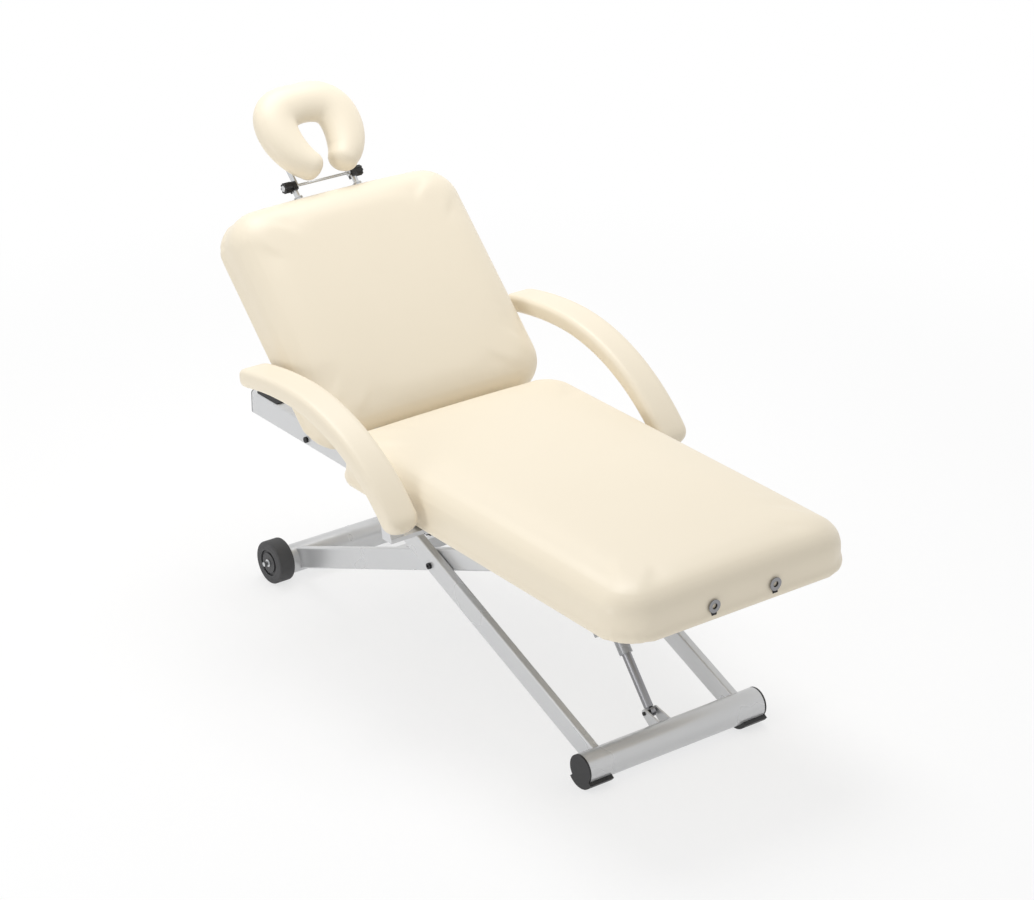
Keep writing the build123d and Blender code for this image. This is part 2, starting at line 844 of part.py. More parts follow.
# Roller tracks, hung from the seat's cross tubes
track_web_x = roller_inner - side_gap - track_wall
track_length = track_head_end - track_foot_end
track_middle_y = scissor_y + (track_head_end + track_foot_end) / 2
hang_bottom = upper_height + track_half_height
hang_top = cross_z - cross_height / 2
with BuildPart() as roller_tracks:
    for side in (-1, 1):
        open_x = roller_outer - side_gap
        with BuildSketch(Plane.YZ.offset(min(side * track_web_x, side * open_x))):
            with Locations((track_middle_y, upper_height)):
                Rectangle(track_length, 2 * (track_half_height + track_wall))
        extrude(amount=open_x - track_web_x)
        inner_x = track_web_x + track_wall
        with BuildSketch(Plane.YZ.offset(min(side * inner_x, side * open_x))):
            with Locations((track_middle_y, upper_height)):
                Rectangle(track_length, 2 * track_half_height)
        extrude(amount=open_x - inner_x, mode=Mode.SUBTRACT)
        with BuildSketch(Plane.YZ.offset(min(side * track_web_x, side * open_x))):
            for place in (hanger_y, scissor_y + track_cross_place):
                with Locations((place, (hang_bottom + track_wall + hang_top) / 2)):
                    Rectangle(cross_width, hang_top - hang_bottom - track_wall)
        extrude(amount=track_wall)
roller_tracks.part.label = "roller_tracks"
export_step(roller_tracks.part, "parts/roller_tracks.step")

# Rubber strips under the seat board, rest pads for the lowered back
strip_width = rail_width - 2 * rail_wall
strip_head_y = seat_head_y - board_inset
strip_foot_y = scissor_y - rail_foot_end
with BuildPart() as rest_pads:
    for side in (-1, 1):
        with BuildSketch(Plane.XY.offset(rail_top)):
            with Locations((side * rail_middle_x, (strip_head_y + strip_foot_y) / 2)):
                Rectangle(strip_width, strip_head_y - strip_foot_y)
        extrude(amount=rail_strip)
        with BuildSketch(Plane.XY.offset(rail_top)):
            with Locations(
                (side * rail_middle_x, hinge_y + rest_pad_from_hinge + rest_pad_length / 2)
            ):
                RectangleRounded(strip_width, rest_pad_length, rest_pad_corner)
        extrude(amount=rail_strip - fit)
rest_pads.part.label = "rest_pads"
export_step(rest_pads.part, "parts/rest_pads.step")

# Fixed ears of the back's hinge, from the rails up through the seam
ear_foot_y = seat_head_y + hinge_ear_start
with BuildPart() as hinge_brackets:
    for side in (-1, 1):
        far = hinge_ear_x + hinge_plate
        with BuildSketch(Plane.YZ.offset(min(side * hinge_ear_x, side * far))):
            Polygon(
                (ear_foot_y, rail_top),
                (ear_foot_y + hinge_ear_root, rail_top),
                (hinge_y + hinge_eye_radius, hinge_z),
                (hinge_y - hinge_eye_radius, hinge_z),
                align=None,
            )
            with Locations((hinge_y, hinge_z)):
                Circle(hinge_eye_radius)
                Circle(pin_radius, mode=Mode.SUBTRACT)
        extrude(amount=hinge_plate)
hinge_brackets.part.label = "hinge_brackets"
export_step(hinge_brackets.part, "parts/hinge_brackets.step")

# Hanger of the actuator: two ears with short bosses, under the middle cross tube
hanger_near = eye_half_width + hanger_gap
with BuildPart() as actuator_hanger:
    for side in (-1, 1):
        far = hanger_near + ear_thickness
        with BuildSketch(Plane.YZ.offset(min(side * hanger_near, side * far))):
            with Locations((hanger_y, (hanger_z + hang_top) / 2)):
                Rectangle(2 * hanger_round, hang_top - hanger_z)
            with Locations((hanger_y, hanger_z)):
                Circle(hanger_round)
        extrude(amount=ear_thickness)
        tip = eye_half_width + side_gap
        with BuildSketch(Plane.YZ.offset(min(side * tip, side * (far + pin_past)))):
            with Locations((hanger_y, hanger_z)):
                Circle(actuator_pin_radius)
        extrude(amount=far + pin_past - tip)
actuator_hanger.part.label = "actuator_hanger"
export_step(actuator_hanger.part, "parts/actuator_hanger.step")

# Pins of the upper pivots, the back's hinge and the gas spring, bolts of the rear tube
with BuildPart() as frame_pins:
    for side in (-1, 1):
        lift_head = Plane(
            origin=(side * (outer_arm_face + side_gap + bolt_head_height), upper_y, upper_height),
            x_dir=(0, 1, 0),
            z_dir=(-side, 0, 0),
        )
        with BuildSketch(lift_head):
            Circle(bolt_head_radius)
            RegularPolygon(hex_share * bolt_head_radius, 6, mode=Mode.SUBTRACT)
        extrude(amount=bolt_head_height / 2)
        with BuildSketch(lift_head.offset(bolt_head_height / 2)):
            Circle(bolt_head_radius)
        extrude(amount=bolt_head_height / 2)
        shank = outer_arm_face + side_gap + bolt_head_height - lug_outer_x + lug_thickness
        with BuildSketch(lift_head.offset(bolt_head_height / 2)):
            Circle(pin_radius)
        extrude(amount=shank - bolt_head_height / 2)
        hinge_head_x = hinge_arm_x + hinge_plate + side_gap + hinge_head_height
        hinge_head = Plane(
            origin=(side * hinge_head_x, hinge_y, hinge_z), x_dir=(0, 1, 0), z_dir=(-side, 0, 0)
        )
        with BuildSketch(hinge_head):
            Circle(bolt_head_radius)
        extrude(amount=hinge_head_height)
        with BuildSketch(hinge_head):
            Circle(pin_radius)
        extrude(amount=hinge_head_x - hinge_ear_x)
        rail_head = Plane(
            origin=(
                side * (rail_outer_face + bolt_head_height),
                back_cross_y,
                rail_bottom + back_cross_height,
            ),
            x_dir=(0, 1, 0),
            z_dir=(-side, 0, 0),
        )
        with BuildSketch(rail_head):
            Circle(rail_bolt_head)
        extrude(amount=bolt_head_height)
        with BuildSketch(rail_head):
            Circle(bolt_radius)
        extrude(amount=bolt_head_height + rail_width + rail_plug)
    with BuildSketch(Plane.YZ.offset(-ear_start - spring_ear - pin_past)):
        with Locations((spring_foot_y, spring_foot_z)):
            Circle(spring_pin)
    extrude(amount=2 * (ear_start + spring_ear + pin_past))
frame_pins.part.label = "frame_pins"
export_step(frame_pins.part, "parts/frame_pins.step")


def cut_socket_room(end, board_top):
    """Room in a cushion for its two accessory sockets, inside the pad's own block."""
    with BuildSketch(end) as room:
        for side in (-1, 1):
            with Locations((side * socket_x, 0)):
                Circle(socket_radius + soft_gap)
            with Locations((side * socket_x, board_top / 2)):
                Rectangle(2 * (saddle_half + soft_gap), -board_top)
    return room.sketch


def make_sockets(end, board_top):
    """Two socket tubes on their saddles, from the cushion's end inward."""
    with BuildPart() as sockets:
        with BuildSketch(end):
            for side in (-1, 1):
                with Locations((side * socket_x, 0)):
                    Circle(socket_radius)
                with Locations((side * socket_x, board_top / 2)):
                    Rectangle(2 * saddle_half, -board_top)
                with Locations((side * socket_x, 0)):
                    Circle(rod_radius + fit, mode=Mode.SUBTRACT)
        extrude(amount=socket_length)
    return sockets


# The cushions' ends, seen from outside: x across the table, y out of the cushion's front
socket_radius = rod_radius + fit + socket_wall
socket_share = (socket_x / half_width) ** 2
foot_face_y = seat_foot_y + draw_in * (1 - socket_share)
head_face_u = back_high - back_arch * socket_share
foot_end = Plane(
    origin=(0, foot_face_y - soft_gap, seat_bottom + socket_height),
    x_dir=(-1, 0, 0),
    z_dir=(0, 1, 0),
)
head_end = Plane(
    origin=back_plane.from_local_coords((0, head_face_u + soft_gap, head_socket_n)),
    x_dir=(1, 0, 0),
    z_dir=(0, -back_cos, -back_sin),
)
seat_plane = Plane.XY.offset(seat_bottom)
underside = back_plane.offset(-hinge_height)

# Seat: board, cushion, sockets and grommets in the foot end
with BuildPart() as seat_board:
    with BuildSketch(seat_plane):
        with Locations((0, (seat_foot_y + seat_head_y) / 2)):
            RectangleRounded(
                cushion_width - 2 * board_inset,
                seat_length - 2 * board_inset,
                corner_round - board_inset,
            )
    extrude(amount=board_thickness)
seat_board.part.label = "seat_board"
export_step(seat_board.part, "parts/seat_board.step")

seat_pad = make_pad(seat_plane, seat_foot_y, seat_head_y, -draw_in)
with BuildPart() as seat_cushion:
    add(seat_pad.part)
    with BuildSketch(seat_plane):
        with Locations((0, (seat_foot_y + seat_head_y) / 2)):
            RectangleRounded(
                cushion_width - 2 * (board_inset - soft_gap),
                seat_length - 2 * (board_inset - soft_gap),
                corner_round - board_inset + soft_gap,
            )
    extrude(amount=board_thickness + soft_gap, mode=Mode.SUBTRACT)
    with BuildSketch(foot_end):
        add(cut_socket_room(Plane.XY, board_thickness - socket_height))
    extrude(amount=socket_length + soft_gap, mode=Mode.SUBTRACT)
seat_cushion.part.label = "seat_cushion"
export_step(seat_cushion.part, "parts/seat_cushion.step")

foot_sockets = make_sockets(foot_end, board_thickness - socket_height)
foot_sockets.part.label = "foot_sockets"
export_step(foot_sockets.part, "parts/foot_sockets.step")


def make_grommets(end, radius, height):
    """Two flanges round the mouths of the sockets."""
    with BuildPart() as grommets:
        with BuildSketch(end):
            for side in (-1, 1):
                with Locations((side * socket_x, 0)):
                    Circle(radius)
                    Circle(rod_radius + fit, mode=Mode.SUBTRACT)
        extrude(amount=-height)
    return grommets


foot_grommets = make_grommets(foot_end, grommet_radius, grommet_proud)
foot_grommets.part.label = "foot_grommets"
export_step(foot_grommets.part, "parts/foot_grommets.step")

# Back: board, cushion, sockets and flanges in the head end
slot_middle_x = (hinge_ear_x - overrun + hinge_head_x + overrun) / 2
slot_width = hinge_head_x - hinge_ear_x + 2 * overrun
slot_reach = hinge_eye_radius + hinge_room
with BuildPart() as back_board:
    with BuildSketch(underside):
        with Locations((0, (back_low + back_high) / 2)):
            RectangleRounded(
                cushion_width - 2 * board_inset,
                back_length - 2 * board_inset - back_arch,
                corner_round - board_inset,
            )
        for side in (-1, 1):
            with Locations((side * slot_middle_x, 0)):
                Rectangle(slot_width, 2 * slot_reach, mode=Mode.SUBTRACT)
    extrude(amount=board_thickness)
back_board.part.label = "back_board"
export_step(back_board.part, "parts/back_board.step")

back_pad = make_pad(underside, back_low, back_high, back_arch)
with BuildPart() as back_cushion:
    add(back_pad.part)
    with BuildSketch(underside):
        with Locations((0, (back_low + back_high) / 2)):
            RectangleRounded(
                cushion_width - 2 * (board_inset - soft_gap),
                back_length - 2 * (board_inset - soft_gap) - back_arch,
                corner_round - board_inset + soft_gap,
            )
    extrude(amount=board_thickness + soft_gap, mode=Mode.SUBTRACT)
    with BuildSketch(head_end):
        add(cut_socket_room(Plane.XY, board_top_n - head_socket_n))
    extrude(amount=socket_length + soft_gap, mode=Mode.SUBTRACT)
    with BuildSketch(underside):
        for side in (-1, 1):
            with Locations((side * slot_middle_x, 0)):
                Rectangle(slot_width, 2 * slot_reach)
    extrude(amount=hinge_height + slot_reach, mode=Mode.SUBTRACT)
    with BuildSketch(underside.offset(board_thickness)):
        for side in (-1, 1):
            with Locations((side * (hinge_arm_x + hinge_plate / 2), hinge_leg / 2)):
                Rectangle(hinge_plate + 2 * overrun, hinge_leg + 2 * overrun)
    extrude(amount=hinge_leg_height + overrun, mode=Mode.SUBTRACT)
back_cushion.part.label = "back_cushion"
export_step(back_cushion.part, "parts/back_cushion.step")

cradle_sockets = make_sockets(head_end, board_top_n - head_socket_n)
cradle_sockets.part.label = "cradle_sockets"
export_step(cradle_sockets.part, "parts/cradle_sockets.step")

head_grommets = make_grommets(head_end, head_flange_radius, head_flange)
head_grommets.part.label = "head_grommets"
export_step(head_grommets.part, "parts/head_grommets.step")

# Arms of the back's hinge, on the board inside the cushion
with BuildPart() as back_hinge_arms:
    for side in (-1, 1):
        far = hinge_arm_x + hinge_plate
        with BuildSketch(back_side_plane(min(side * hinge_arm_x, side * far))):
            Polygon(
                (-hinge_eye_radius, 0),
                (back_low + board_inset, board_top_n),
                (hinge_leg, board_top_n),
                (hinge_leg, board_top_n + hinge_leg_height),
                (hinge_eye_radius, board_top_n + hinge_leg_height),
                (hinge_eye_radius, 0),
                align=None,
            )
            Circle(hinge_eye_radius)
            Circle(pin_radius + fit, mode=Mode.SUBTRACT)
        extrude(amount=hinge_plate)
back_hinge_arms.part.label = "back_hinge_arms"
export_step(back_hinge_arms.part, "parts/back_hinge_arms.step")

# Bracket of the gas spring under the back, with the pin of the release lever
spring_u = spring_place
spring_n = -hinge_height - spring_drop
lever_u = spring_place + lever_out
lever_n = -hinge_height - lever_drop
with BuildPart() as gas_spring_bracket:
    with BuildSketch(underside):
        with Locations((0, (spring_u + lever_u) / 2)):
            Rectangle(spring_base_width, lever_u - spring_u + 2 * spring_base_past)
    extrude(amount=-spring_base)
    for side in (-1, 1):
        ear_far = ear_start + spring_ear
        with BuildSketch(back_side_plane(min(side * ear_start, side * ear_far))):
            Polygon(
                (spring_u - spring_eye, -hinge_height),
                (spring_u - spring_eye, spring_n),
                (spring_u + spring_eye, spring_n),
                (lever_u + spring_eye, lever_n - lever_boss),
                (lever_u + spring_eye, -hinge_height),
                align=None,
            )
            with Locations((spring_u, spring_n)):
                Circle(spring_eye)
        extrude(amount=spring_ear)
        with BuildSketch(back_side_plane(min(side * ear_far, side * (ear_far + pin_past)))):
            with Locations((spring_u, spring_n)):
                Circle(spring_pin)
        extrude(amount=pin_past)
    with BuildSketch(back_side_plane(-ear_start)):
        with Locations((lever_u, lever_n)):
            Circle(lever_pin)
    extrude(amount=spring_ear_gap)
gas_spring_bracket.part.label = "gas_spring_bracket"
export_step(gas_spring_bracket.part, "parts/gas_spring_bracket.step")

# Release lever of the gas spring, a flat bar with a cross grip
with BuildPart() as release_lever:
    with BuildSketch(back_side_plane(-lever_half)):
        with Locations((lever_u + (lever_reach - lever_toe) / 2, lever_n)):
            Rectangle(lever_reach + lever_toe, lever_depth)
        with Locations((lever_u, lever_n)):
            Circle(lever_boss)
            Circle(lever_pin + fit, mode=Mode.SUBTRACT)
    extrude(amount=2 * lever_half)
    with BuildSketch(back_side_plane(-grip_half)):
        with Locations((lever_u + lever_reach, lever_n)):
            Circle(grip_radius)
    extrude(amount=2 * grip_half)
release_lever.part.label = "release_lever"
export_step(release_lever.part, "parts/release_lever.step")

# Gas spring: its line runs from the frame's ears to the bracket under the back
spring_top_y = hinge_y + spring_u * back_cos - spring_n * back_sin
spring_top_z = hinge_z + spring_u * back_sin + spring_n * back_cos
spring_length = hypot(spring_top_y - spring_foot_y, spring_top_z - spring_foot_z)
spring_plane = Plane(
    origin=(0, spring_foot_y, spring_foot_z),
    x_dir=(1, 0, 0),
    z_dir=(0, spring_top_y - spring_foot_y, spring_top_z - spring_foot_z),
)
with BuildPart() as gas_spring_cylinder:
    with BuildSketch(spring_plane.offset(spring_eye + overrun)):
        Circle(cylinder_radius)
    extrude(amount=cylinder_length)
    with BuildSketch(Plane.YZ.offset(-spring_eye_width / 2)):
        with Locations((spring_foot_y, spring_foot_z)):
            Circle(spring_eye)
    extrude(amount=spring_eye_width)
    with BuildSketch(spring_plane):
        Rectangle(spring_eye_width, spring_eye)
    extrude(amount=spring_eye + 2 * overrun)
    with BuildSketch(spring_plane.offset(spring_eye + cylinder_floor)):
        Circle(cylinder_bore)
    extrude(amount=cylinder_length - cylinder_floor - cylinder_head, mode=Mode.SUBTRACT)
    with BuildSketch(spring_plane.offset(spring_eye + overrun)):
        Circle(spring_rod_radius + fit)
    extrude(amount=cylinder_length, mode=Mode.SUBTRACT)
    with BuildSketch(Plane.YZ.offset(-spring_eye_width)):
        with Locations((spring_foot_y, spring_foot_z)):
            Circle(spring_pin + fit)
    extrude(amount=2 * spring_eye_width, mode=Mode.SUBTRACT)
gas_spring_cylinder.part.label = "gas_spring_cylinder"
export_step(gas_spring_cylinder.part, "parts/gas_spring_cylinder.step")

with BuildPart() as gas_spring_rod:
    with BuildSketch(spring_plane.offset(piston_start)):
        Circle(cylinder_bore - fit)
    extrude(amount=piston_length)
    with BuildSketch(spring_plane.offset(piston_start)):
        Circle(spring_rod_radius)
    extrude(amount=spring_length - piston_start - (spring_eye + spring_pin) / 2)
    with BuildSketch(Plane.YZ.offset(-spring_eye_width / 2)):
        with Locations((spring_top_y, spring_top_z)):
            Circle(spring_eye)
            Circle(spring_pin, mode=Mode.SUBTRACT)
    extrude(amount=spring_eye_width)
gas_spring_rod.part.label = "gas_spring_rod"
export_step(gas_spring_rod.part, "parts/gas_spring_rod.step")

# Actuator: the rod on the clevis, the housing with its gearbox and motor
with BuildPart() as actuator_rod:
    with BuildSketch(actuator_plane.offset(eye_radius - overrun)):
        Circle(actuator_rod_radius)
    extrude(amount=actuator_tube_start + actuator_rod_past - eye_radius + overrun)
    with BuildSketch(Plane.YZ.offset(-eye_half_width)):
        with Locations((clevis_y, clevis_z)):
            Circle(eye_radius)
    extrude(amount=2 * eye_half_width)
    with BuildSketch(Plane.YZ.offset(-eye_half_width)):
        with Locations((clevis_y, clevis_z)):
            Circle(actuator_pin_radius + fit)
    extrude(amount=2 * eye_half_width, mode=Mode.SUBTRACT)
actuator_rod.part.label = "actuator_rod"
export_step(actuator_rod.part, "parts/actuator_rod.step")

gearbox_end = actuator_length - gearbox_from_eye
gearbox_start = gearbox_end - gearbox_length
with BuildPart() as actuator_housing:
    with BuildSketch(actuator_plane.offset(actuator_tube_start)):
        Circle(actuator_tube_radius)
    extrude(amount=gearbox_start - actuator_tube_start)
    with BuildSketch(actuator_plane.offset(gearbox_start)):
        Circle(gearbox_small_round)
        with Locations((0, motor_offset)):
            Circle(gearbox_round)
        make_hull()
    extrude(amount=gearbox_length)
    along_rod = Axis(actuator_plane.origin, actuator_plane.z_dir)
    fillet(actuator_housing.faces().sort_by(along_rod)[-1].edges(), radius=gearbox_edge)
    with BuildSketch(actuator_plane.offset(motor_start)):
        with Locations((0, motor_offset)):
            Circle(motor_radius)
    extrude(amount=gearbox_start - motor_start)
    with BuildSketch(actuator_plane.offset(gearbox_end)):
        Rectangle(2 * eye_half_width, 2 * eye_neck)
    extrude(amount=gearbox_from_eye)
    with BuildSketch(Plane.YZ.offset(-eye_half_width)):
        with Locations((hanger_y, hanger_z)):
            Circle(eye_radius)
    extrude(amount=2 * eye_half_width)
    with BuildSketch(Plane.YZ.offset(-eye_half_width)):
        with Locations((hanger_y, hanger_z)):
            Circle(actuator_pin_radius)
    extrude(amount=2 * eye_half_width, mode=Mode.SUBTRACT)
    with BuildSketch(actuator_plane.offset(actuator_tube_start)):
        Circle(actuator_rod_radius + fit)
    extrude(amount=gearbox_start - actuator_tube_start - tube_floor, mode=Mode.SUBTRACT)
actuator_housing.part.label = "actuator_housing"
export_step(actuator_housing.part, "parts/actuator_housing.step")

# Control box under the seat board
with BuildPart() as control_box:
    with BuildSketch(seat_plane):
        with Locations((0, seat_head_y - box_from_seat_head)):
            RectangleRounded(box_width, box_length, box_round)
    extrude(amount=-box_height)
    fillet(control_box.faces().sort_by(Axis.Z)[0].edges(), radius=box_round / 2)
control_box.part.label = "control_box"
export_step(control_box.part, "parts/control_box.step")

# Receivers of the armrest bars, on the outsides of the rails
bar_y = scissor_y + bar_place
bar_z = seat_bottom - bar_drop
receiver_half = bar_height / 2 + fit + receiver_wall
with BuildPart() as armrest_receivers:
    for side in (-1, 1):
        far = rail_outer_face + receiver_length
        with BuildSketch(Plane.YZ.offset(min(side * rail_outer_face, side * far))):
            with Locations((bar_y, bar_z)):
                Rectangle(bar_width + 2 * (fit + receiver_wall), 2 * receiver_half)
                Rectangle(bar_width + 2 * fit, bar_height + 2 * fit, mode=Mode.SUBTRACT)
        extrude(amount=receiver_length)
        with BuildSketch(Plane.XY.offset(bar_z - receiver_half)):
            with Locations((side * (far - knob_from_mouth), bar_y)):
                Circle(lock_stem_radius + fit)
        extrude(amount=receiver_half, mode=Mode.SUBTRACT)
armrest_receivers.part.label = "armrest_receivers"
export_step(armrest_receivers.part, "parts/armrest_receivers.step")


def make_lock_knob(side):
    """The knob that locks an armrest's bar: a fluted head on a stem, from below."""
    knob_x = side * (rail_outer_face + receiver_length - knob_from_mouth)
    with BuildPart() as knob:
        with BuildSketch(Plane.XY.offset(bar_z - receiver_half - side_gap)):
            with Locations((knob_x, bar_y)):
                Circle(lock_knob_radius)
                with PolarLocations(lock_knob_radius, knob_lobes):
                    Circle(flute_share * lock_knob_radius, mode=Mode.SUBTRACT)
        extrude(amount=-lock_knob_height)
        with BuildSketch(Plane.XY.offset(bar_z - receiver_half - side_gap)):
            with Locations((knob_x, bar_y)):
                Circle(lock_stem_radius)
        extrude(amount=receiver_half + side_gap - bar_height / 2 - fit)
    return knob


lock_knob_left = make_lock_knob(-1)
lock_knob_left.part.label = "lock_knob_left"
export_step(lock_knob_left.part, "parts/lock_knob_left.step")

lock_knob_right = make_lock_knob(1)
lock_knob_right.part.label = "lock_knob_right"
export_step(lock_knob_right.part, "parts/lock_knob_right.step")

# Armrests: the side profile is two arcs that meet at the highest point
arch_y = scissor_y + armrest_top_place
front_centre_z = armrest_top_height - front_arc
rear_centre_z = armrest_top_height - rear_arc


def on_front(offset, angle):
    """A point of the front arc: the offset is from the middle line, the angle from the top."""
    reach = front_arc + offset
    return (arch_y - reach * sin(radians(angle)), front_centre_z + reach * cos(radians(angle)))


def on_rear(offset, angle):
    """A point of the rear arc, in the same terms."""
    reach = rear_arc + offset
    return (arch_y + reach * sin(radians(angle)), rear_centre_z + reach * cos(radians(angle)))


def make_armrest_pad(side):
    """An arched pad, round at its ends and edges, with a recess for its strap."""
    half = armrest_thickness / 2
    low_x = side * armrest_x - armrest_width / 2
    with BuildPart() as pad:
        with BuildSketch(Plane.YZ.offset(low_x)):
            with BuildLine():
                ThreePointArc(
                    on_front(half, front_angle), on_front(half, front_angle / 2), on_front(half, 0)
                )
                ThreePointArc(
                    on_rear(half, 0), on_rear(half, rear_angle / 2), on_rear(half, rear_angle)
                )
                Line(on_rear(half, rear_angle), on_rear(-half, rear_angle))
                ThreePointArc(
                    on_rear(-half, rear_angle), on_rear(-half, rear_angle / 2), on_rear(-half, 0)
                )
                ThreePointArc(
                    on_front(-half, 0),
                    on_front(-half, front_angle / 2),
                    on_front(-half, front_angle),
                )
                Line(on_front(-half, front_angle), on_front(half, front_angle))
            make_face()
        extrude(amount=armrest_width)
        upright = pad.edges().filter_by(GeomType.LINE).filter_by(Axis.X, reverse=True)
        fillet(upright, radius=armrest_end_round)
        across = pad.edges().filter_by(Axis.X).sort_by(SortBy.LENGTH)[:4]
        curved = pad.edges().filter_by(GeomType.LINE, reverse=True)
        fillet(across + curved, radius=armrest_round)
        with BuildSketch(Plane.YZ.offset(side * armrest_x - strap_half - soft_gap)):
            with BuildLine():
                ThreePointArc(
                    on_front(-half - overrun, strap_high),
                    on_front(-half - overrun, strap_middle),
                    on_front(-half - overrun, strap_low),
                )
                Line(
                    on_front(-half - overrun, strap_low),
                    on_front(arm_strap + soft_gap - half, strap_low),
                )
                ThreePointArc(
                    on_front(arm_strap + soft_gap - half, strap_low),
                    on_front(arm_strap + soft_gap - half, strap_middle),
                    on_front(arm_strap + soft_gap - half, strap_high),
                )
                Line(
                    on_front(arm_strap + soft_gap - half, strap_high),
                    on_front(-half - overrun, strap_high),
                )
            make_face()
        extrude(amount=2 * (strap_half + soft_gap), mode=Mode.SUBTRACT)
    return pad


def make_armrest_bracket(side):
    """A bar for the receiver, a post at its end and the strap that carries the pad."""
    half = armrest_thickness / 2
    inset = degrees(soft_gap / front_arc)
    low = strap_low + inset
    high = strap_high - inset
    bar_end = armrest_x + bar_width / 2
    with BuildPart() as bracket:
        with BuildSketch(Plane.YZ.offset(min(side * bar_inner_x, side * bar_end))):
            with Locations((bar_y, bar_z)):
                Rectangle(bar_width, bar_height)
        extrude(amount=bar_end - bar_inner_x)
        with BuildSketch(Plane.YZ.offset(side * armrest_x - bar_width / 2)):
            with BuildLine():
                Line(on_front(arm_strap - half, high), on_front(-half, high))
                ThreePointArc(
                    on_front(-half, high), on_front(-half, strap_middle), on_front(-half, low)
                )
                Line(on_front(-half, low), on_front(arm_strap - half, low))
                ThreePointArc(
                    on_front(arm_strap - half, low),
                    on_front(arm_strap - half, strap_middle),
                    on_front(arm_strap - half, high),
                )
            make_face()
        extrude(amount=bar_width)
        with BuildSketch(Plane.YZ.offset(side * armrest_x - bar_width / 2)):
            Polygon(
                (bar_y - bar_width / 2, bar_z),
                (bar_y + bar_width / 2, bar_z),
                on_front(arm_strap / 2 - half, strap_middle),
                on_front(arm_strap / 2 - half, post_high),
                align=None,
            )
        extrude(amount=bar_width)
    return bracket


armrest_pad_left = make_armrest_pad(-1)
armrest_pad_left.part.label = "armrest_pad_left"
export_step(armrest_pad_left.part, "parts/armrest_pad_left.step")

armrest_pad_right = make_armrest_pad(1)
armrest_pad_right.part.label = "armrest_pad_right"
export_step(armrest_pad_right.part, "parts/armrest_pad_right.step")

armrest_bracket_left = make_armrest_bracket(-1)
armrest_bracket_left.part.label = "armrest_bracket_left"
export_step(armrest_bracket_left.part, "parts/armrest_bracket_left.step")

armrest_bracket_right = make_armrest_bracket(1)
armrest_bracket_right.part.label = "armrest_bracket_right"
export_step(armrest_bracket_right.part, "parts/armrest_bracket_right.step")

# Yoke of the face cradle: two rods in the head end's sockets, the bar that they carry
rod_plane = Plane(
    origin=back_plane.from_local_coords((0, back_high - rod_in_socket, head_socket_n)),
    x_dir=(1, 0, 0),
    z_dir=(0, back_cos, back_sin),
)
pivot_plane = Plane(
    origin=back_plane.from_local_coords((0, cradle_pivot_u, head_socket_n)),
    x_dir=(0, back_cos, back_sin),
    z_dir=(1, 0, 0),
)
clamp_outer_x = socket_x + clamp_thickness / 2
bar_end_x = clamp_outer_x + side_gap + knob_height
with BuildPart() as cradle_yoke:
    with BuildSketch(rod_plane):
        for side in (-1, 1):
            with Locations((side * socket_x, 0)):
                Circle(rod_radius)
    extrude(amount=rod_in_socket + cradle_pivot_out - cradle_bar_radius - side_gap)
    with BuildSketch(pivot_plane.offset(-bar_end_x)):
        Circle(cradle_bar_radius)
    extrude(amount=2 * bar_end_x)
cradle_yoke.part.label = "cradle_yoke"
export_step(cradle_yoke.part, "parts/cradle_yoke.step")

# Clamp blocks round the rods' ends
with BuildPart() as cradle_clamps:
    for side in (-1, 1):
        near = socket_x - clamp_thickness / 2
        with BuildSketch(pivot_plane.offset(min(side * near, side * clamp_outer_x))):
            Circle(clamp_round)
            with Locations((-clamp_length / 4, 0)):
                Rectangle(clamp_length / 2, 2 * clamp_round)
            Circle(cradle_bar_radius, mode=Mode.SUBTRACT)
        extrude(amount=clamp_thickness)
    with BuildSketch(rod_plane):
        for side in (-1, 1):
            with Locations((side * socket_x, 0)):
                Circle(rod_radius)
    extrude(
        amount=rod_in_socket + cradle_pivot_out - cradle_bar_radius - side_gap,
        mode=Mode.SUBTRACT,
    )
cradle_clamps.part.label = "cradle_clamps"
export_step(cradle_clamps.part, "parts/cradle_clamps.step")


def make_cradle_knob(side):
    """A fluted clamping knob on the end of the cradle's bar."""
    near = clamp_outer_x + side_gap
    with BuildPart() as knob:
        with BuildSketch(pivot_plane.offset(min(side * near, side * bar_end_x))):
            Circle(knob_radius)
            with PolarLocations(knob_radius, knob_lobes):
                Circle(flute_share * knob_radius, mode=Mode.SUBTRACT)
            Circle(cradle_bar_radius + fit, mode=Mode.SUBTRACT)
        extrude(amount=knob_height)
    return knob


cradle_knob_left = make_cradle_knob(-1)
cradle_knob_left.part.label = "cradle_knob_left"
export_step(cradle_knob_left.part, "parts/cradle_knob_left.step")

cradle_knob_right = make_cradle_knob(1)
cradle_knob_right.part.label = "cradle_knob_right"
export_step(cradle_knob_right.part, "parts/cradle_knob_right.step")

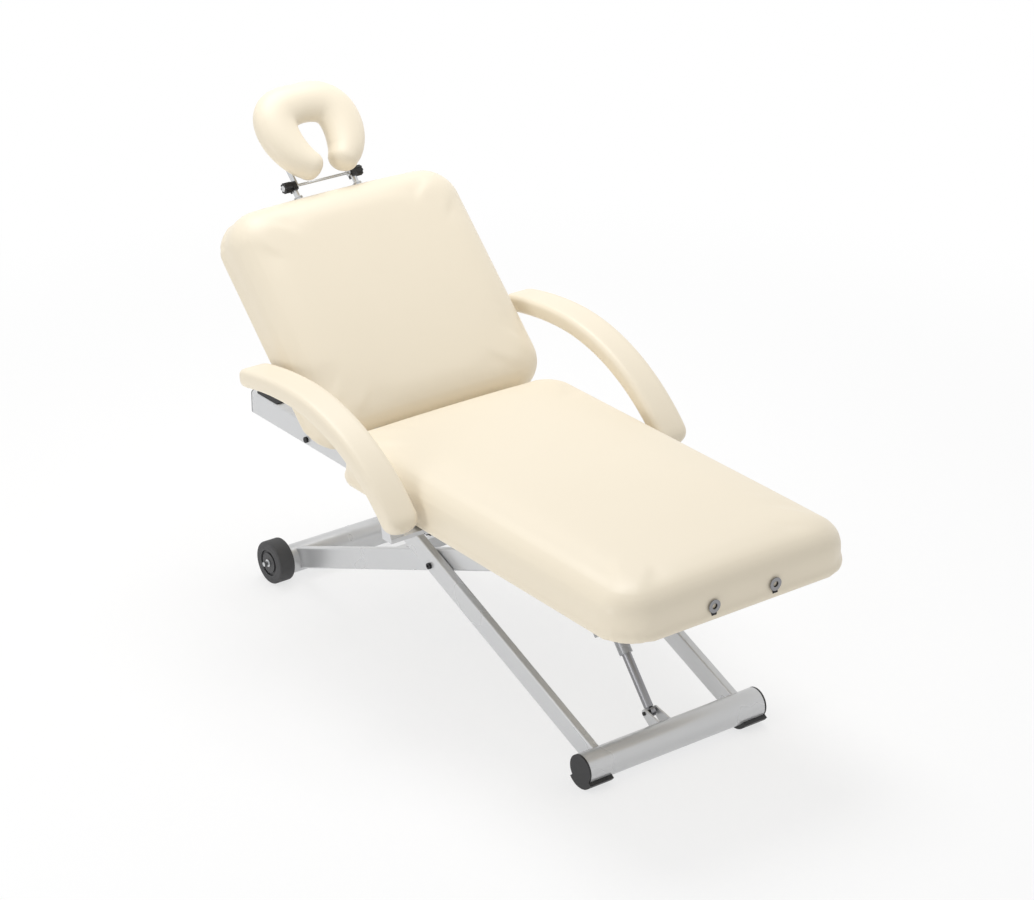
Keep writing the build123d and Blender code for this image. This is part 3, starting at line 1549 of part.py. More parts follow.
# Plate of the cradle: a flat horseshoe on two straps that turn on the yoke's bar
cushion_half = horseshoe_thickness / 2
plate_n = cradle_mid_n - cushion_half - soft_gap - plate_thickness
plate_plane = Plane(
    origin=back_plane.from_local_coords((0, cradle_centre_u, plate_n)),
    x_dir=(1, 0, 0),
    z_dir=back_plane.z_dir,
)
cradle_start = socket_x - clamp_thickness / 2 - side_gap - strap_thickness
lobe_x = horseshoe_radius * sin(radians(plate_end_angle))
lobe_v = horseshoe_radius * cos(radians(plate_end_angle))
with BuildPart() as cradle_plate:
    with BuildSketch(plate_plane):
        with BuildLine() as band:
            ThreePointArc((-lobe_x, lobe_v), (0, horseshoe_radius), (lobe_x, lobe_v))
        trace(band.line, plate_band)
    extrude(amount=plate_thickness)
    for side in (-1, 1):
        far = cradle_start + strap_thickness
        with BuildSketch(back_side_plane(min(side * cradle_start, side * far))):
            Polygon(
                (cradle_pivot_u, head_socket_n - strap_width / 2),
                (cradle_centre_u + plate_band / 2, plate_n - strap_width),
                (cradle_centre_u + plate_band / 2, plate_n),
                (cradle_centre_u - cushion_half, plate_n),
                (cradle_pivot_u, head_socket_n + strap_width / 2),
                align=None,
            )
            with Locations((cradle_pivot_u, head_socket_n)):
                Circle(strap_width / 2)
                Circle(cradle_bar_radius + fit, mode=Mode.SUBTRACT)
        extrude(amount=strap_thickness)
cradle_plate.part.label = "cradle_plate"
export_step(cradle_plate.part, "parts/cradle_plate.step")

# Horseshoe cushion: round sections round an open ring, thicker at the sides
middle_plane = Plane(
    origin=back_plane.from_local_coords((0, cradle_centre_u, cradle_mid_n)),
    x_dir=(1, 0, 0),
    z_dir=back_plane.z_dir,
)
with BuildPart() as cradle_cushion:
    for station in range(-horseshoe_stations, horseshoe_stations + 1):
        turn = radians(horseshoe_end_angle) * station / horseshoe_stations
        swell = horseshoe_top + horseshoe_swell * abs(turn) - horseshoe_ease * turn**2
        place = (horseshoe_radius * sin(turn), horseshoe_length_radius * cos(turn), 0)
        outward = back_plane.x_dir * sin(turn) + back_plane.y_dir * cos(turn)
        along = back_plane.x_dir * cos(turn) - back_plane.y_dir * sin(turn)
        centre = middle_plane.from_local_coords(place)
        with BuildSketch(Plane(origin=centre, x_dir=outward, z_dir=along)):
            Ellipse(swell, cushion_half)
    loft()
    ends = cradle_cushion.faces().filter_by(GeomType.PLANE)
    fillet(ends.edges(), radius=horseshoe_end_round)
cradle_cushion.part.label = "cradle_cushion"
export_step(cradle_cushion.part, "parts/cradle_cushion.step")
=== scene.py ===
import json
import math

import bmesh
import bpy
from mathutils import Matrix, Vector


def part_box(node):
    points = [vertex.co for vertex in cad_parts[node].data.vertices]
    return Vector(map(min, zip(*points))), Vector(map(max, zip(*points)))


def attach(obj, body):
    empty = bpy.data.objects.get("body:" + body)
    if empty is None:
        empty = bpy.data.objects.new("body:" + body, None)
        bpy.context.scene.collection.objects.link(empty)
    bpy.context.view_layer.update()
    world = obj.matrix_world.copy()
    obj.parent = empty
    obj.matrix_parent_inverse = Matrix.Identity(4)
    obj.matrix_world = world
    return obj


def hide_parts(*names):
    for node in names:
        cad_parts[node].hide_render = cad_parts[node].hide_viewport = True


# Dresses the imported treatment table: upholstery, finishes, studio and camera.
# Lengths are in metres. X runs across the table, -Y is the foot end, +Z is up.
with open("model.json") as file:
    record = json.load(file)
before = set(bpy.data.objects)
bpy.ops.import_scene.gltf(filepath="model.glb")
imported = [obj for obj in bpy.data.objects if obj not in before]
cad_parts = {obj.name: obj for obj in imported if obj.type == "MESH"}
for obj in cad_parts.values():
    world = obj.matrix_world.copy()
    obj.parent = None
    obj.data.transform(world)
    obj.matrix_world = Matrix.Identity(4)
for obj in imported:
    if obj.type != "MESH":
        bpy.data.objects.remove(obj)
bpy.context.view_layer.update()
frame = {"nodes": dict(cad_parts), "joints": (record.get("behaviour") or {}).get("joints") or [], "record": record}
nodes = frame["nodes"]
joints = {joint["name"]: joint for joint in frame["joints"]}

# The photograph's camera
CAMERA_PLACE = (-4.6084, -6.1853, 4.1466)
CAMERA_AZIMUTH = math.radians(-36.99)
CAMERA_ELEVATION = math.radians(24.77)
CAMERA_LENS = 112.31
CAMERA_REACH = 100.0
SENSOR_WIDTH = 36.0

# Seat and back: rounding, then the filling and the crown
CORNER_ROUND = 0.108
TOP_ROUND = 0.068
BOTTOM_ROUND = 0.004
ROUND_STEPS = 10
BOTTOM_STEPS = 3
STAPLED_HEIGHT = 0.015
STUFFING_PRESSURE = 4.0
STUFFING_QUALITY = 5
STUFFING_FRAMES = 20
STUFFING_CAP = 0.006
STUFFING_INSET = 0.002
SEAM_REACH = 0.012
FOOT_END_INSET = -0.0002
PAD_VOXEL = 0.010
SLAB_CROWN = 0.006
CROWN_END_SHARE = 0.4
BACK_ANGLE = math.radians(44.4)
BACK_ARCH = 0.008

# Smaller pads: how evenly they are meshed and how their open ends close
SMALL_VOXEL = 0.005
END_SHARES = (0.25, 0.45, 0.62, 0.76, 0.87, 0.95, 1.0)
END_LEAST_SHARE = 0.12
SAME_PLACE = 1e-5
SAME_LEVEL = 1e-6

# Armrests, as in the part: two arcs that meet at the highest point
ARMREST_FRONT_ARC = 0.600
ARMREST_REAR_ARC = 1.000
ARMREST_FRONT_ANGLE = math.radians(51.0)
ARMREST_REAR_ANGLE = math.radians(14.2)
ARMREST_HEIGHT = 0.768
ARMREST_TOP_FROM_SCISSOR = 0.290
ARMREST_THICKNESS = 0.051
ARMREST_WIDER = 0.004
ARMREST_ROUND = 0.017
ARMREST_ROUND_STEPS = 6
ARMREST_END_ROUND = 0.042
ARMREST_STEP = 0.016
ARMREST_SQUARENESS = 2.3

# Horseshoe of the face cradle: across, up the back and half as wide, from its crown to a lobe's end
HORSESHOE_STATIONS = (
    (0.000, 0.094, 0.058),
    (0.038, 0.092, 0.061),
    (0.071, 0.082, 0.063),
    (0.093, 0.058, 0.064),
    (0.101, 0.026, 0.063),
    (0.099, -0.006, 0.061),
    (0.090, -0.038, 0.057),
    (0.075, -0.068, 0.051),
    (0.056, -0.092, 0.043),
)
HORSESHOE_THICKNESS = 0.080
HORSESHOE_END = math.radians(150.0)
HORSESHOE_CAP = 0.036
HORSESHOE_SIDES = 32
HORSESHOE_STEPS = 64
HORSESHOE_SQUARENESS = 2.2
CRADLE_CENTRE_OUT = 0.117
CRADLE_RISE = 0.057

# Bright nuts in the cradle's clamp knobs
KNOB_NUT_RADIUS = 0.0085
KNOB_NUT_PROUD = 0.0022
KNOB_NUT_EDGE = 0.0010
KNOB_NUT_EDGE_STEPS = 3
KNOB_NUT_SIDES = 32

# Studio
FLOOR_SIZE = 30.0
FLOOR_SQUARES = 8
FLOOR_FADE = (0.28, 0.28, 0.0)
FLOOR_FADE_START = 0.5
FLOOR_PAINT = (0.96, 0.96, 0.96, 1.0)
FLOOR_GLOW = 0.7
WHITE = (1.0, 1.0, 1.0, 1.0)
WORLD_LIGHT = 0.58
SEEN_BY = ("Is Camera Ray", "Is Glossy Ray", "Is Transmission Ray")
LAMPS = (
    ("overhead", (0.5, 1.3, 4.5), (0, -0.4, 0.5), 2.6, 106.0),
    ("left", (-4.6, -0.4, 1.5), (0, -0.1, 0.5), 1.8, 40.0),
)

# Colours, as a screen shows them
CREAM = (0.928, 0.887, 0.805)
CREAM_SHADE = (0.916, 0.873, 0.790)
SILVER = (0.838, 0.842, 0.848)
BRIGHT = (0.800, 0.805, 0.810)
ROD_GREY = (0.560, 0.560, 0.570)
MOTOR_GREY = (0.640, 0.645, 0.655)
BLACK = (0.115, 0.115, 0.120)
TYRE_BLACK = (0.235, 0.235, 0.240)
PLY_LIGHT = (0.780, 0.640, 0.460)
PLY_DARK = (0.620, 0.460, 0.300)

# Grain of the finishes: features to a metre, and how deep they are
VINYL_GRAIN = 620.0
VINYL_PORES = 1400.0
VINYL_DEPTH = 0.00012
POWDER_FLAKE = 2600.0
POWDER_PEEL = 420.0
POWDER_DEPTH = 0.00006
DRAWN_MARKS = 900.0
DRAWN_DEPTH = 0.00003
DRAWN_STRETCH = (1.0, 0.06, 0.06)
PLY_GRAIN = 26.0
PLY_WAVES = 3.0
PLY_DEPTH = 0.0002
PLY_STRETCH = (9.0, 0.8, 9.0)


def make_camera():
    """The photograph's camera, aimed by its azimuth and elevation."""
    data = bpy.data.cameras.new("camera")
    data.lens = CAMERA_LENS
    data.sensor_width = SENSOR_WIDTH
    data.clip_end = CAMERA_REACH
    camera = bpy.data.objects.new("camera", data)
    bpy.context.scene.collection.objects.link(camera)
    camera.location = CAMERA_PLACE
    level = math.cos(CAMERA_ELEVATION)
    backward = Vector(
        (
            math.sin(CAMERA_AZIMUTH) * level,
            -math.cos(CAMERA_AZIMUTH) * level,
            math.sin(CAMERA_ELEVATION),
        )
    )
    camera.rotation_mode = "QUATERNION"
    camera.rotation_quaternion = (-backward).to_track_quat("-Z", "Y")
    bpy.context.scene.camera = camera


make_camera()


def screen(colour):
    """A screen colour as the linear colour that a socket holds."""
    linear = [c / 12.92 if c <= 0.04045 else ((c + 0.055) / 1.055) ** 2.4 for c in colour]
    return (*linear, 1.0)


def shaded(colour, share):
    """A screen colour, darker or lighter by a share, and never past white."""
    return tuple(min(1.0, channel * share) for channel in colour)


class Value:
    """A number that changes over a surface; sums in Python add Math nodes."""

    def __init__(self, recipe, socket):
        self.recipe = recipe
        self.socket = socket

    def maths(self, operation, first, second):
        return self.recipe.number("ShaderNodeMath", {"operation": operation}, {0: first, 1: second})

    def __add__(self, other):
        return self.maths("ADD", self, other)

    def __radd__(self, other):
        return self.maths("ADD", other, self)

    def __mul__(self, other):
        return self.maths("MULTIPLY", self, other)

    def __rmul__(self, other):
        return self.maths("MULTIPLY", other, self)


class Shading:
    """The nodes of a material or a world under way, and the shader that they feed."""

    def __init__(self, owner, output, shader):
        owner.use_nodes = True
        self.owner = owner
        self.tree = owner.node_tree
        self.tree.nodes.clear()
        end = self.tree.nodes.new(output)
        self.surface = self.tree.nodes.new(shader)
        self.tree.links.new(self.surface.outputs[0], end.inputs["Surface"])

    def put(self, node, sockets):
        for name, value in sockets.items():
            if isinstance(value, Value):
                value = value.socket
            if isinstance(value, bpy.types.NodeSocket):
                self.tree.links.new(value, node.inputs[name])
            else:
                node.inputs[name].default_value = value

    def node(self, kind, settings=None, sockets=None):
        made = self.tree.nodes.new(kind)
        for name, value in (settings or {}).items():
            setattr(made, name, value)
        self.put(made, sockets or {})
        return made

    def number(self, kind, settings=None, sockets=None):
        return Value(self, self.node(kind, settings, sockets).outputs[0])

    def shows_background(self):
        """1 for the rays that show the background: the camera's, and those in gloss and glass."""
        rays = self.node("ShaderNodeLightPath")
        plain, gloss, glass = (Value(self, rays.outputs[name]) for name in SEEN_BY)
        return plain + gloss + glass

    def done(self, sockets):
        self.put(self.surface, sockets)
        return self.owner


class Recipe(Shading):
    """A material under way, with the patterns that it is made of."""

    def __init__(self, name, shader="ShaderNodeBsdfPrincipled"):
        super().__init__(bpy.data.materials.new(name), "ShaderNodeOutputMaterial", shader)
        self.place = self.node("ShaderNodeTexCoord").outputs["Object"]

    def stretched(self, scale):
        return self.node("ShaderNodeMapping", None, {"Vector": self.place, "Scale": scale}).outputs[0]

    def noise(self, scale, detail=3.0, place=None):
        sockets = {"Vector": place or self.place, "Scale": scale, "Detail": detail}
        return Value(self, self.node("ShaderNodeTexNoise", None, sockets).outputs["Fac"])

    def mix(self, factor, first, second):
        sockets = {"Factor": factor, 6: screen(first), 7: screen(second)}
        return self.node("ShaderNodeMix", {"data_type": "RGBA"}, sockets).outputs[2]

    def bump(self, height, distance, strength):
        sockets = {"Height": height, "Distance": distance, "Strength": strength}
        return self.node("ShaderNodeBump", None, sockets).outputs[0]


def make_vinyl():
    """Upholstery vinyl: a fine pebbled grain under a soft satin skin."""
    recipe = Recipe("cream_vinyl")
    cells = recipe.node(
        "ShaderNodeTexVoronoi",
        {"feature": "SMOOTH_F1"},
        {"Vector": recipe.place, "Scale": VINYL_GRAIN, "Smoothness": 0.6},
    )
    grain = Value(recipe, cells.outputs["Distance"])
    pores = recipe.noise(VINYL_PORES, 2.0)
    broad = recipe.noise(2.6)
    rub = recipe.noise(14.0, 4.0)
    return recipe.done(
        {
            "Base Color": recipe.mix(broad, CREAM, CREAM_SHADE),
            "Roughness": 0.40 + rub * 0.10,
            "Normal": recipe.bump(grain * 0.7 + pores * 0.3, VINYL_DEPTH, 0.35),
            "Specular IOR Level": 0.42,
            "Sheen Weight": 0.06,
            "Coat Weight": 0.05,
            "Coat Roughness": 0.30,
        }
    )


def make_powder(name, colour, metallic):
    """Powder coat: a metallic paint with a faint orange peel."""
    recipe = Recipe(name)
    flake = recipe.noise(POWDER_FLAKE, 2.0)
    peel = recipe.noise(POWDER_PEEL)
    broad = recipe.noise(5.0)
    return recipe.done(
        {
            "Base Color": recipe.mix(flake * 0.5 + broad * 0.5, colour, shaded(colour, 0.97)),
            "Metallic": metallic,
            "Roughness": 0.24 + broad * 0.08,
            "Normal": recipe.bump(peel, POWDER_DEPTH, 0.12),
        }
    )


def make_steel(name, colour, roughness):
    """Steel with fine drawing marks along one direction."""
    recipe = Recipe(name)
    marks = recipe.noise(DRAWN_MARKS, place=recipe.stretched(DRAWN_STRETCH))
    smear = recipe.noise(30.0)
    return recipe.done(
        {
            "Base Color": screen(colour),
            "Metallic": 1.0,
            "Roughness": roughness + marks * 0.10 + smear * 0.05,
            "Normal": recipe.bump(marks, DRAWN_DEPTH, 0.2),
        }
    )


def make_black(name, colour, roughness, features, depth, metallic=0.0):
    """Moulded or coated black: a fine texture and a slightly uneven gloss."""
    recipe = Recipe(name)
    texture = recipe.noise(features)
    wear = recipe.noise(25.0, 4.0)
    return recipe.done(
        {
            "Base Color": recipe.mix(wear, colour, shaded(colour, 1.25)),
            "Metallic": metallic,
            "Roughness": roughness + wear * 0.12,
            "Normal": recipe.bump(texture, depth, 0.4),
        }
    )


def make_plywood():
    """Plain plywood: long grain with darker growth lines."""
    recipe = Recipe("plywood")
    along = recipe.stretched(PLY_STRETCH)
    wobble = recipe.noise(PLY_WAVES, 4.0, along)
    grain = recipe.noise(PLY_GRAIN, 6.0, along)
    return recipe.done(
        {
            "Base Color": recipe.mix(wobble * 0.4 + grain * 0.6, PLY_LIGHT, PLY_DARK),
            "Roughness": 0.55 + grain * 0.15,
            "Normal": recipe.bump(grain, PLY_DEPTH, 0.3),
        }
    )


def dress(material, *names):
    """Gives CAD nodes or pieces a material in place of the one they have."""
    for name in names:
        data = nodes[name].data if isinstance(name, str) else name.data
        data.materials.clear()
        data.materials.append(material)


vinyl = make_vinyl()
powder = make_powder("silver_powder_coat", SILVER, 0.40)
motor_paint = make_powder("motor_grey", MOTOR_GREY, 0.20)
steel = make_steel("bright_steel", BRIGHT, 0.20)
rod_steel = make_steel("rod_steel", ROD_GREY, 0.28)
black_plastic = make_black("black_plastic", BLACK, 0.42, 1500.0, 0.0001)
black_steel = make_black("black_oxide", BLACK, 0.34, 2400.0, 0.00005, 0.5)
rubber = make_black("rubber", BLACK, 0.62, 900.0, 0.0001)
tyre_rubber = make_black("tyre_rubber", TYRE_BLACK, 0.60, 700.0, 0.00015)
hub_plastic = make_black("hub_plastic", TYRE_BLACK, 0.45, 1300.0, 0.0001)

MATERIAL_OF_SLOT = {
    "vinyl": vinyl,
    "frame": powder,
    "steel": steel,
    "black": black_plastic,
    "black_steel": black_steel,
    "rubber": rubber,
    "tyre": tyre_rubber,
    "board": make_plywood(),
    "motor": black_plastic,
}
for subpart in frame["record"]["subparts"]:
    dress(MATERIAL_OF_SLOT[subpart["material_slot"]], subpart["node"])
dress(hub_plastic, "hub_left", "hub_right")
dress(motor_paint, "actuator_housing")
dress(rod_steel, "actuator_rod", "foot_grommets")
dress(black_steel, "foot_sockets")


def new_object(name, bm):
    """A mesh object at the origin from a finished bmesh, smooth shaded."""
    mesh = bpy.data.meshes.new(name)
    bm.to_mesh(mesh)
    bm.free()
    for polygon in mesh.polygons:
        polygon.use_smooth = True
    piece = bpy.data.objects.new(name, mesh)
    bpy.context.scene.collection.objects.link(piece)
    return piece


def bake_modifiers(piece):
    """Replaces a piece's mesh by what its modifiers make of it."""
    graph = bpy.context.evaluated_depsgraph_get()
    baked = bpy.data.meshes.new_from_object(piece.evaluated_get(graph))
    old = piece.data
    piece.modifiers.clear()
    piece.data = baked
    bpy.data.meshes.remove(old)
    for polygon in piece.data.polygons:
        polygon.use_smooth = True


def remesh(piece, size):
    """Even quads all over a closed piece."""
    modifier = piece.modifiers.new("even", "REMESH")
    modifier.mode = "VOXEL"
    modifier.voxel_size = size
    bake_modifiers(piece)


def subdivide(piece, levels):
    """Smooths a piece with subdivision, made real at once."""
    modifier = piece.modifiers.new("smooth", "SUBSURF")
    modifier.levels = levels
    modifier.render_levels = levels
    bake_modifiers(piece)


def stuff(piece, voxel, cap, held):
    """Swells a pad as its filling does: cloth under pressure, its movement capped."""
    remesh(piece, voxel)
    start = [vertex.co.copy() for vertex in piece.data.vertices]
    group = piece.vertex_groups.new(name="held")
    group.add([i for i, place in enumerate(start) if held(place)], 1.0, "REPLACE")
    modifier = piece.modifiers.new("filling", "CLOTH")
    settings = modifier.settings
    settings.use_pressure = True
    settings.uniform_pressure_force = STUFFING_PRESSURE
    settings.vertex_group_mass = "held"
    settings.effector_weights.gravity = 0.0
    settings.quality = STUFFING_QUALITY
    modifier.point_cache.frame_start = 1
    modifier.point_cache.frame_end = STUFFING_FRAMES
    for number in range(1, STUFFING_FRAMES + 1):
        bpy.context.scene.frame_set(number)
    bake_modifiers(piece)
    bpy.context.scene.frame_set(1)
    piece.vertex_groups.clear()
    for vertex, old in zip(piece.data.vertices, start):
        moved = vertex.co - old
        if moved.length > cap:
            vertex.co = old + moved.normalized() * cap


def place_mesh(piece, matrix):
    """Moves a piece's mesh and leaves its object at the origin."""
    piece.data.transform(matrix)
    piece.data.update()


def bevel(bm, geom, offset, steps, affect="EDGES"):
    """Rounds edges or corners by a radius."""
    bmesh.ops.bevel(
        bm,
        geom=geom,
        offset=offset,
        offset_type="OFFSET",
        affect=affect,
        segments=steps,
        profile=0.5,
        material=-1,
    )


def make_slab(name, width, low, high, height, arch):
    """A big cushion, flat below: round corners, a soft top edge, a crowned face."""
    bm = bmesh.new()
    bmesh.ops.create_cube(bm, size=1.0)
    middle = (low + high) / 2
    bmesh.ops.scale(bm, vec=(width, high - low, height), verts=bm.verts)
    bmesh.ops.translate(bm, vec=(0, middle, height / 2), verts=bm.verts)
    upright = [e for e in bm.edges if abs(e.verts[0].co.z - e.verts[1].co.z) > height / 2]
    bevel(bm, upright, CORNER_ROUND, ROUND_STEPS)
    for level, radius, steps in ((height, TOP_ROUND, ROUND_STEPS), (0.0, BOTTOM_ROUND, BOTTOM_STEPS)):
        rim = [
            e
            for e in bm.edges
            if all(abs(v.co.z - level) < SAME_LEVEL for v in e.verts)
            and any(abs(f.normal.z) < 0.5 for f in e.link_faces)
        ]
        bevel(bm, rim, radius, steps)
    bmesh.ops.recalc_face_normals(bm, faces=bm.faces)
    pad = new_object(name, bm)
    stuff(pad, PAD_VOXEL, STUFFING_CAP, lambda place: place.z < STAPLED_HEIGHT)
    for vertex in pad.data.vertices:
        across = vertex.co.x / (width / 2)
        along = (vertex.co.y - middle) / ((high - low) / 2)
        if along > 0:
            vertex.co.y -= arch * across * across * along
        rise = vertex.co.z / height
        end = min(along, 0.0) ** 4 * CROWN_END_SHARE
        vertex.co.z -= SLAB_CROWN * rise * (across * across + end)
    subdivide(pad, 1)
    return pad


seat_low, seat_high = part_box("seat_cushion")
seat = make_slab(
    "seat_upholstery",
    seat_high.x - seat_low.x - 2 * STUFFING_INSET,
    seat_low.y + FOOT_END_INSET,
    seat_high.y + SEAM_REACH,
    seat_high.z - seat_low.z - STUFFING_INSET,
    0.0,
)
place_mesh(seat, Matrix.Translation((0, 0, seat_low.z)))
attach(seat, "top_frame")
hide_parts("seat_cushion", "seat_board")
dress(vinyl, seat)

# The back in its own frame: x across, y up the back from the hinge, z out of its front
hinge = Vector(joints["back_lift"]["pos_m"])
back_turn = Matrix.Translation(hinge) @ Matrix.Rotation(BACK_ANGLE, 4, "X")
back_flat = back_turn.inverted()
back_points = [back_flat @ v.co for v in nodes["back_cushion"].data.vertices]
back_low = Vector(min(p[i] for p in back_points) for i in range(3))
back_high = Vector(max(p[i] for p in back_points) for i in range(3))
back = make_slab(
    "back_upholstery",
    back_high.x - back_low.x - 2 * STUFFING_INSET,
    back_low.y - STUFFING_INSET,
    back_high.y - STUFFING_INSET,
    back_high.z - back_low.z - STUFFING_INSET,
    BACK_ARCH,
)
place_mesh(back, back_turn @ Matrix.Translation((0, 0, back_low.z)))
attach(back, "backrest")
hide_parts("back_cushion", "back_board")
dress(vinyl, back)


def rounded_section(width, thickness, radius):
    """A rounded rectangle as a closed ring in a bmesh, across X and upright in Z."""
    bm = bmesh.new()
    bmesh.ops.create_grid(bm, x_segments=1, y_segments=1, size=0.5)
    bmesh.ops.scale(bm, vec=(width, thickness, 1), verts=bm.verts)
    bevel(bm, bm.verts[:], radius, ARMREST_ROUND_STEPS, "VERTICES")
    bmesh.ops.rotate(bm, matrix=Matrix.Rotation(math.radians(90), 3, "X"), verts=bm.verts)
    bmesh.ops.delete(bm, geom=bm.faces[:], context="FACES_ONLY")
    return bm


def close_end(bm, ring, heading, reach, squareness):
    """Rounds off an open end: rings pushed out along a heading and drawn in, then a face."""
    done = 0.0
    size = 1.0
    for share in END_SHARES:
        made = bmesh.ops.extrude_edge_only(bm, edges=ring)["geom"]
        verts = [item for item in made if isinstance(item, bmesh.types.BMVert)]
        ring = [item for item in made if isinstance(item, bmesh.types.BMEdge)]
        ring = [e for e in ring if e.verts[0] in verts and e.verts[1] in verts]
        wanted = max(END_LEAST_SHARE, (1 - share**squareness) ** (1 / squareness))
        middle = sum((v.co for v in verts), Vector()) / len(verts)
        bmesh.ops.scale(
            bm,
            vec=Vector((wanted / size,) * 3),
            space=Matrix.Translation(-middle),
            verts=verts,
        )
        bmesh.ops.translate(bm, vec=heading * reach * (share - done), verts=verts)
        done, size = share, wanted
    bmesh.ops.contextual_create(bm, geom=ring)


scissor = Vector(joints["scissor"]["pos_m"])


def make_armrest(name, centre_x):
    """An arched pad: its section spun about the front and the rear arc's centres."""
    low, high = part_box(name)
    width = high.x - low.x + ARMREST_WIDER
    bm = rounded_section(width, ARMREST_THICKNESS, ARMREST_ROUND)
    top = Vector((centre_x, scissor.y + ARMREST_TOP_FROM_SCISSOR, ARMREST_HEIGHT))
    bmesh.ops.translate(bm, vec=top, verts=bm.verts)
    ring = bm.edges[:]
    ends = []
    for arc, angle, side in (
        (ARMREST_FRONT_ARC, ARMREST_FRONT_ANGLE, 1),
        (ARMREST_REAR_ARC, ARMREST_REAR_ANGLE, -1),
    ):
        sweep = angle - ARMREST_END_ROUND / arc
        centre = top - Vector((0, 0, arc))
        spun = bmesh.ops.spin(
            bm,
            geom=ring,
            cent=centre,
            axis=(1, 0, 0),
            angle=side * sweep,
            steps=int(sweep * arc / ARMREST_STEP),
            use_merge=False,
            use_duplicate=False,
        )["geom_last"]
        edges = [item for item in spun if isinstance(item, bmesh.types.BMEdge)]
        heading = Vector((0, -side * math.cos(sweep), -math.sin(sweep)))
        ends.append((edges, heading))
    for edges, heading in ends:
        close_end(bm, edges, heading, ARMREST_END_ROUND, ARMREST_SQUARENESS)
    bmesh.ops.remove_doubles(bm, verts=bm.verts, dist=SAME_PLACE)
    bmesh.ops.recalc_face_normals(bm, faces=bm.faces)
    pad = new_object(name + "_upholstery", bm)
    remesh(pad, SMALL_VOXEL)
    subdivide(pad, 1)
    return pad


for side_name in ("left", "right"):
    node = "armrest_pad_" + side_name
    low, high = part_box(node)
    pad = make_armrest(node, (low.x + high.x) / 2)
    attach(pad, "armrest_" + side_name)
    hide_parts(node)
    dress(vinyl, pad)


def horseshoe_station(share):
    """The ring's middle, its way outwards and its half width, at a share of the way to an end."""
    last = len(HORSESHOE_STATIONS) - 1
    place = abs(share) * last
    number = min(int(place), last - 1)
    rest = place - number
    near = [HORSESHOE_STATIONS[min(abs(number + step), last)] for step in (-1, 0, 1, 2)]
    if number == 0:
        near[0] = (-near[0][0], near[0][1], near[0][2])
    before, start, end, after = (Vector(station) for station in near)
    if number == last - 1:
        after = end * 2 - start
    slope_in, slope_out = (end - before) / 2, (after - start) / 2
    smooth = 3 * rest**2 - 2 * rest**3
    middle = (
        start.lerp(end, smooth)
        + slope_in * (rest**3 - 2 * rest**2 + rest)
        + slope_out * (rest**3 - rest**2)
    )
    heading = (
        (end - start) * (6 * rest - 6 * rest**2)
        + slope_in * (3 * rest**2 - 4 * rest + 1)
        + slope_out * (3 * rest**2 - 2 * rest)
    )
    outwards = Vector((-heading.y, heading.x, 0)).normalized()
    side = -1 if share < 0 else 1
    return (
        Vector((middle.x * side, middle.y, 0)),
        Vector((outwards.x * side, outwards.y, 0)),
        middle.z,
    )


def make_horseshoe():
    """The face cushion: a round section spun into an open ring, then led along its stations."""
    bm = bmesh.new()
    bmesh.ops.create_circle(bm, segments=HORSESHOE_SIDES, radius=0.5)
    bmesh.ops.rotate(bm, matrix=Matrix.Rotation(math.radians(90), 3, "Y"), verts=bm.verts)
    bmesh.ops.translate(bm, vec=(0, 1, 0), verts=bm.verts)
    bmesh.ops.rotate(bm, matrix=Matrix.Rotation(HORSESHOE_END, 3, "Z"), verts=bm.verts)
    first = bm.edges[:]
    last = bmesh.ops.spin(
        bm,
        geom=first,
        cent=(0, 0, 0),
        axis=(0, 0, -1),
        angle=2 * HORSESHOE_END,
        steps=HORSESHOE_STEPS,
        use_merge=False,
        use_duplicate=False,
    )["geom_last"]
    last = [item for item in last if isinstance(item, bmesh.types.BMEdge)]
    for vertex in bm.verts:
        around = math.atan2(vertex.co.x, vertex.co.y)
        out = 2 * (math.hypot(vertex.co.x, vertex.co.y) - 1)
        middle, outwards, half = horseshoe_station(around / HORSESHOE_END)
        level = vertex.co.z * HORSESHOE_THICKNESS
        vertex.co = middle + outwards * out * half + Vector((0, 0, level))
    for edges, share in ((first, -1.0), (last, 1.0)):
        outwards = horseshoe_station(share)[1]
        heading = Vector((outwards.y, -outwards.x, 0)) * share
        close_end(bm, edges, heading, HORSESHOE_CAP, HORSESHOE_SQUARENESS)
    bmesh.ops.recalc_face_normals(bm, faces=bm.faces)
    cushion = new_object("face_cushion", bm)
    remesh(cushion, SMALL_VOXEL)
    subdivide(cushion, 1)
    return cushion


tilt_pivot = Vector(joints["cradle_tilt"]["pos_m"])
cradle_turn = Matrix.Translation(tilt_pivot) @ Matrix.Rotation(BACK_ANGLE, 4, "X")
horseshoe = make_horseshoe()
place_mesh(horseshoe, cradle_turn @ Matrix.Translation((0, CRADLE_CENTRE_OUT, CRADLE_RISE)))
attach(horseshoe, "cradle")
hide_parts("cradle_cushion")
dress(vinyl, horseshoe)


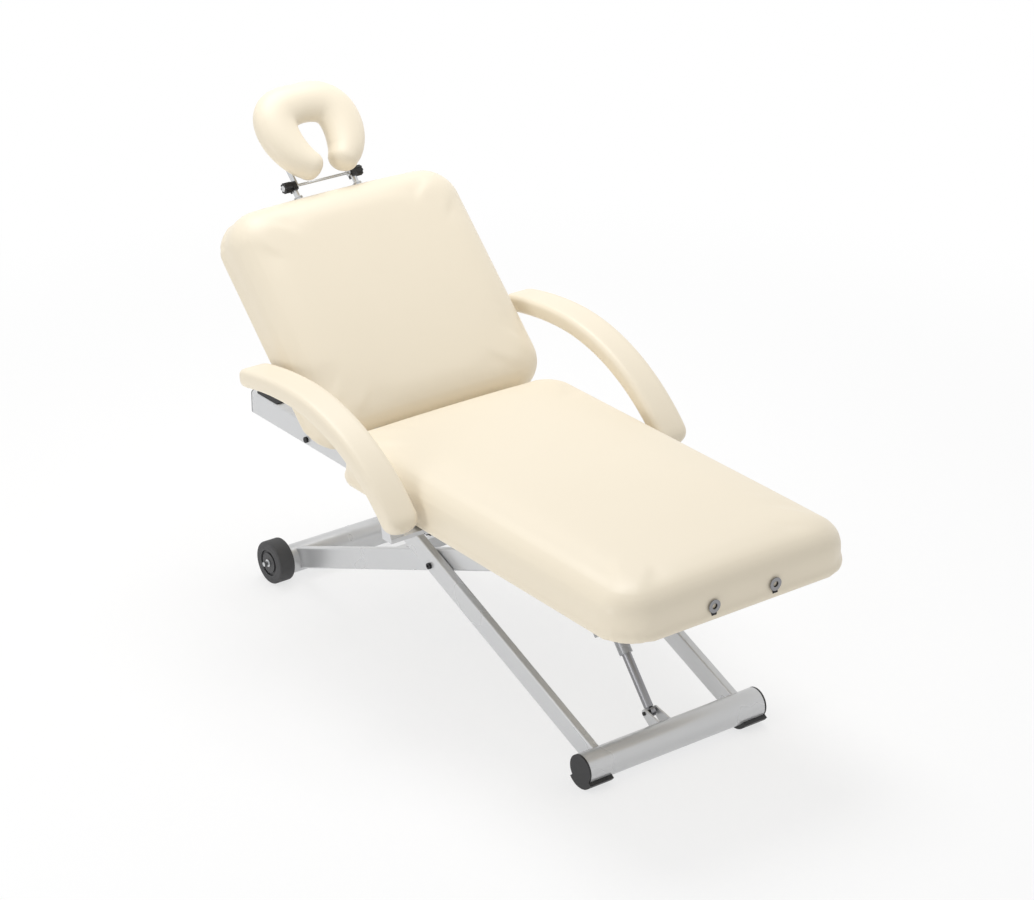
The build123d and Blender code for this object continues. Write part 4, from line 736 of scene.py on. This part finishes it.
def make_knob_nut(knob, side):
    """The bright nut in the outer face of a clamp knob."""
    bm = bmesh.new()
    bmesh.ops.create_cone(
        bm,
        cap_ends=True,
        segments=KNOB_NUT_SIDES,
        radius1=KNOB_NUT_RADIUS,
        radius2=KNOB_NUT_RADIUS,
        depth=2 * KNOB_NUT_PROUD,
    )
    rim = [e for e in bm.edges if all(v.co.z > 0 for v in e.verts)]
    bevel(bm, rim, KNOB_NUT_EDGE, KNOB_NUT_EDGE_STEPS)
    bmesh.ops.rotate(bm, matrix=Matrix.Rotation(side * math.radians(90), 3, "Y"), verts=bm.verts)
    low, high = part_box(knob)
    face = Vector((low.x if side < 0 else high.x, (low.y + high.y) / 2, (low.z + high.z) / 2))
    bmesh.ops.translate(bm, vec=face, verts=bm.verts)
    nut = new_object(knob + "_nut", bm)
    for polygon in nut.data.polygons:
        polygon.use_smooth = len(polygon.vertices) == 4
    return nut


for side_name, side in (("left", -1), ("right", 1)):
    knob = "cradle_knob_" + side_name
    nut = make_knob_nut(knob, side)
    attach(nut, knob)
    dress(steel, nut)


def make_floor_finish():
    """A pale studio floor that keeps shadows near the table and fades to plain white."""
    recipe = Recipe("studio_floor", "ShaderNodeMixShader")
    centred = recipe.stretched(FLOOR_FADE)
    reach = recipe.node("ShaderNodeVectorMath", {"operation": "LENGTH"}, {0: centred})
    fade = recipe.node(
        "ShaderNodeMapRange",
        {"interpolation_type": "SMOOTHSTEP"},
        {"Value": reach.outputs["Value"], "From Min": FLOOR_FADE_START, "From Max": 1.0},
    )
    near = recipe.node("ShaderNodeBsdfDiffuse", None, {"Color": FLOOR_PAINT})
    white = recipe.node("ShaderNodeEmission", None, {"Color": WHITE, "Strength": 1.0})
    glow = recipe.shows_background() * FLOOR_GLOW
    sockets = {0: glow, 1: near.outputs[0], 2: white.outputs[0]}
    lit = recipe.node("ShaderNodeMixShader", None, sockets)
    return recipe.done({0: fade.outputs[0], 1: lit.outputs[0], 2: white.outputs[0]})


def make_floor():
    """A wide flat floor under the table."""
    bm = bmesh.new()
    bmesh.ops.create_grid(bm, x_segments=FLOOR_SQUARES, y_segments=FLOOR_SQUARES, size=FLOOR_SIZE)
    floor = new_object("floor", bm)
    dress(make_floor_finish(), floor)


def make_world():
    """Soft light from all round, and plain white where the background shows."""
    studio = Shading(bpy.data.worlds.new("studio"), "ShaderNodeOutputWorld", "ShaderNodeMixShader")
    light, plain = (
        studio.node("ShaderNodeBackground", None, {"Color": WHITE, "Strength": strength})
        for strength in (WORLD_LIGHT, 1.0)
    )
    sockets = {0: studio.shows_background(), 1: light.outputs[0], 2: plain.outputs[0]}
    bpy.context.scene.world = studio.done(sockets)


def make_lamps():
    """Soft round lamps, each turned to where it aims."""
    for name, place, aim, size, power in LAMPS:
        data = bpy.data.lights.new(name, "AREA")
        data.shape = "DISK"
        data.size = size
        data.energy = power
        lamp = bpy.data.objects.new(name, data)
        bpy.context.scene.collection.objects.link(lamp)
        lamp.location = place
        lamp.rotation_mode = "QUATERNION"
        lamp.rotation_quaternion = (Vector(aim) - Vector(place)).to_track_quat("-Z", "Y")


make_floor()
make_world()
make_lamps()
bpy.context.scene.view_settings.view_transform = "Standard"
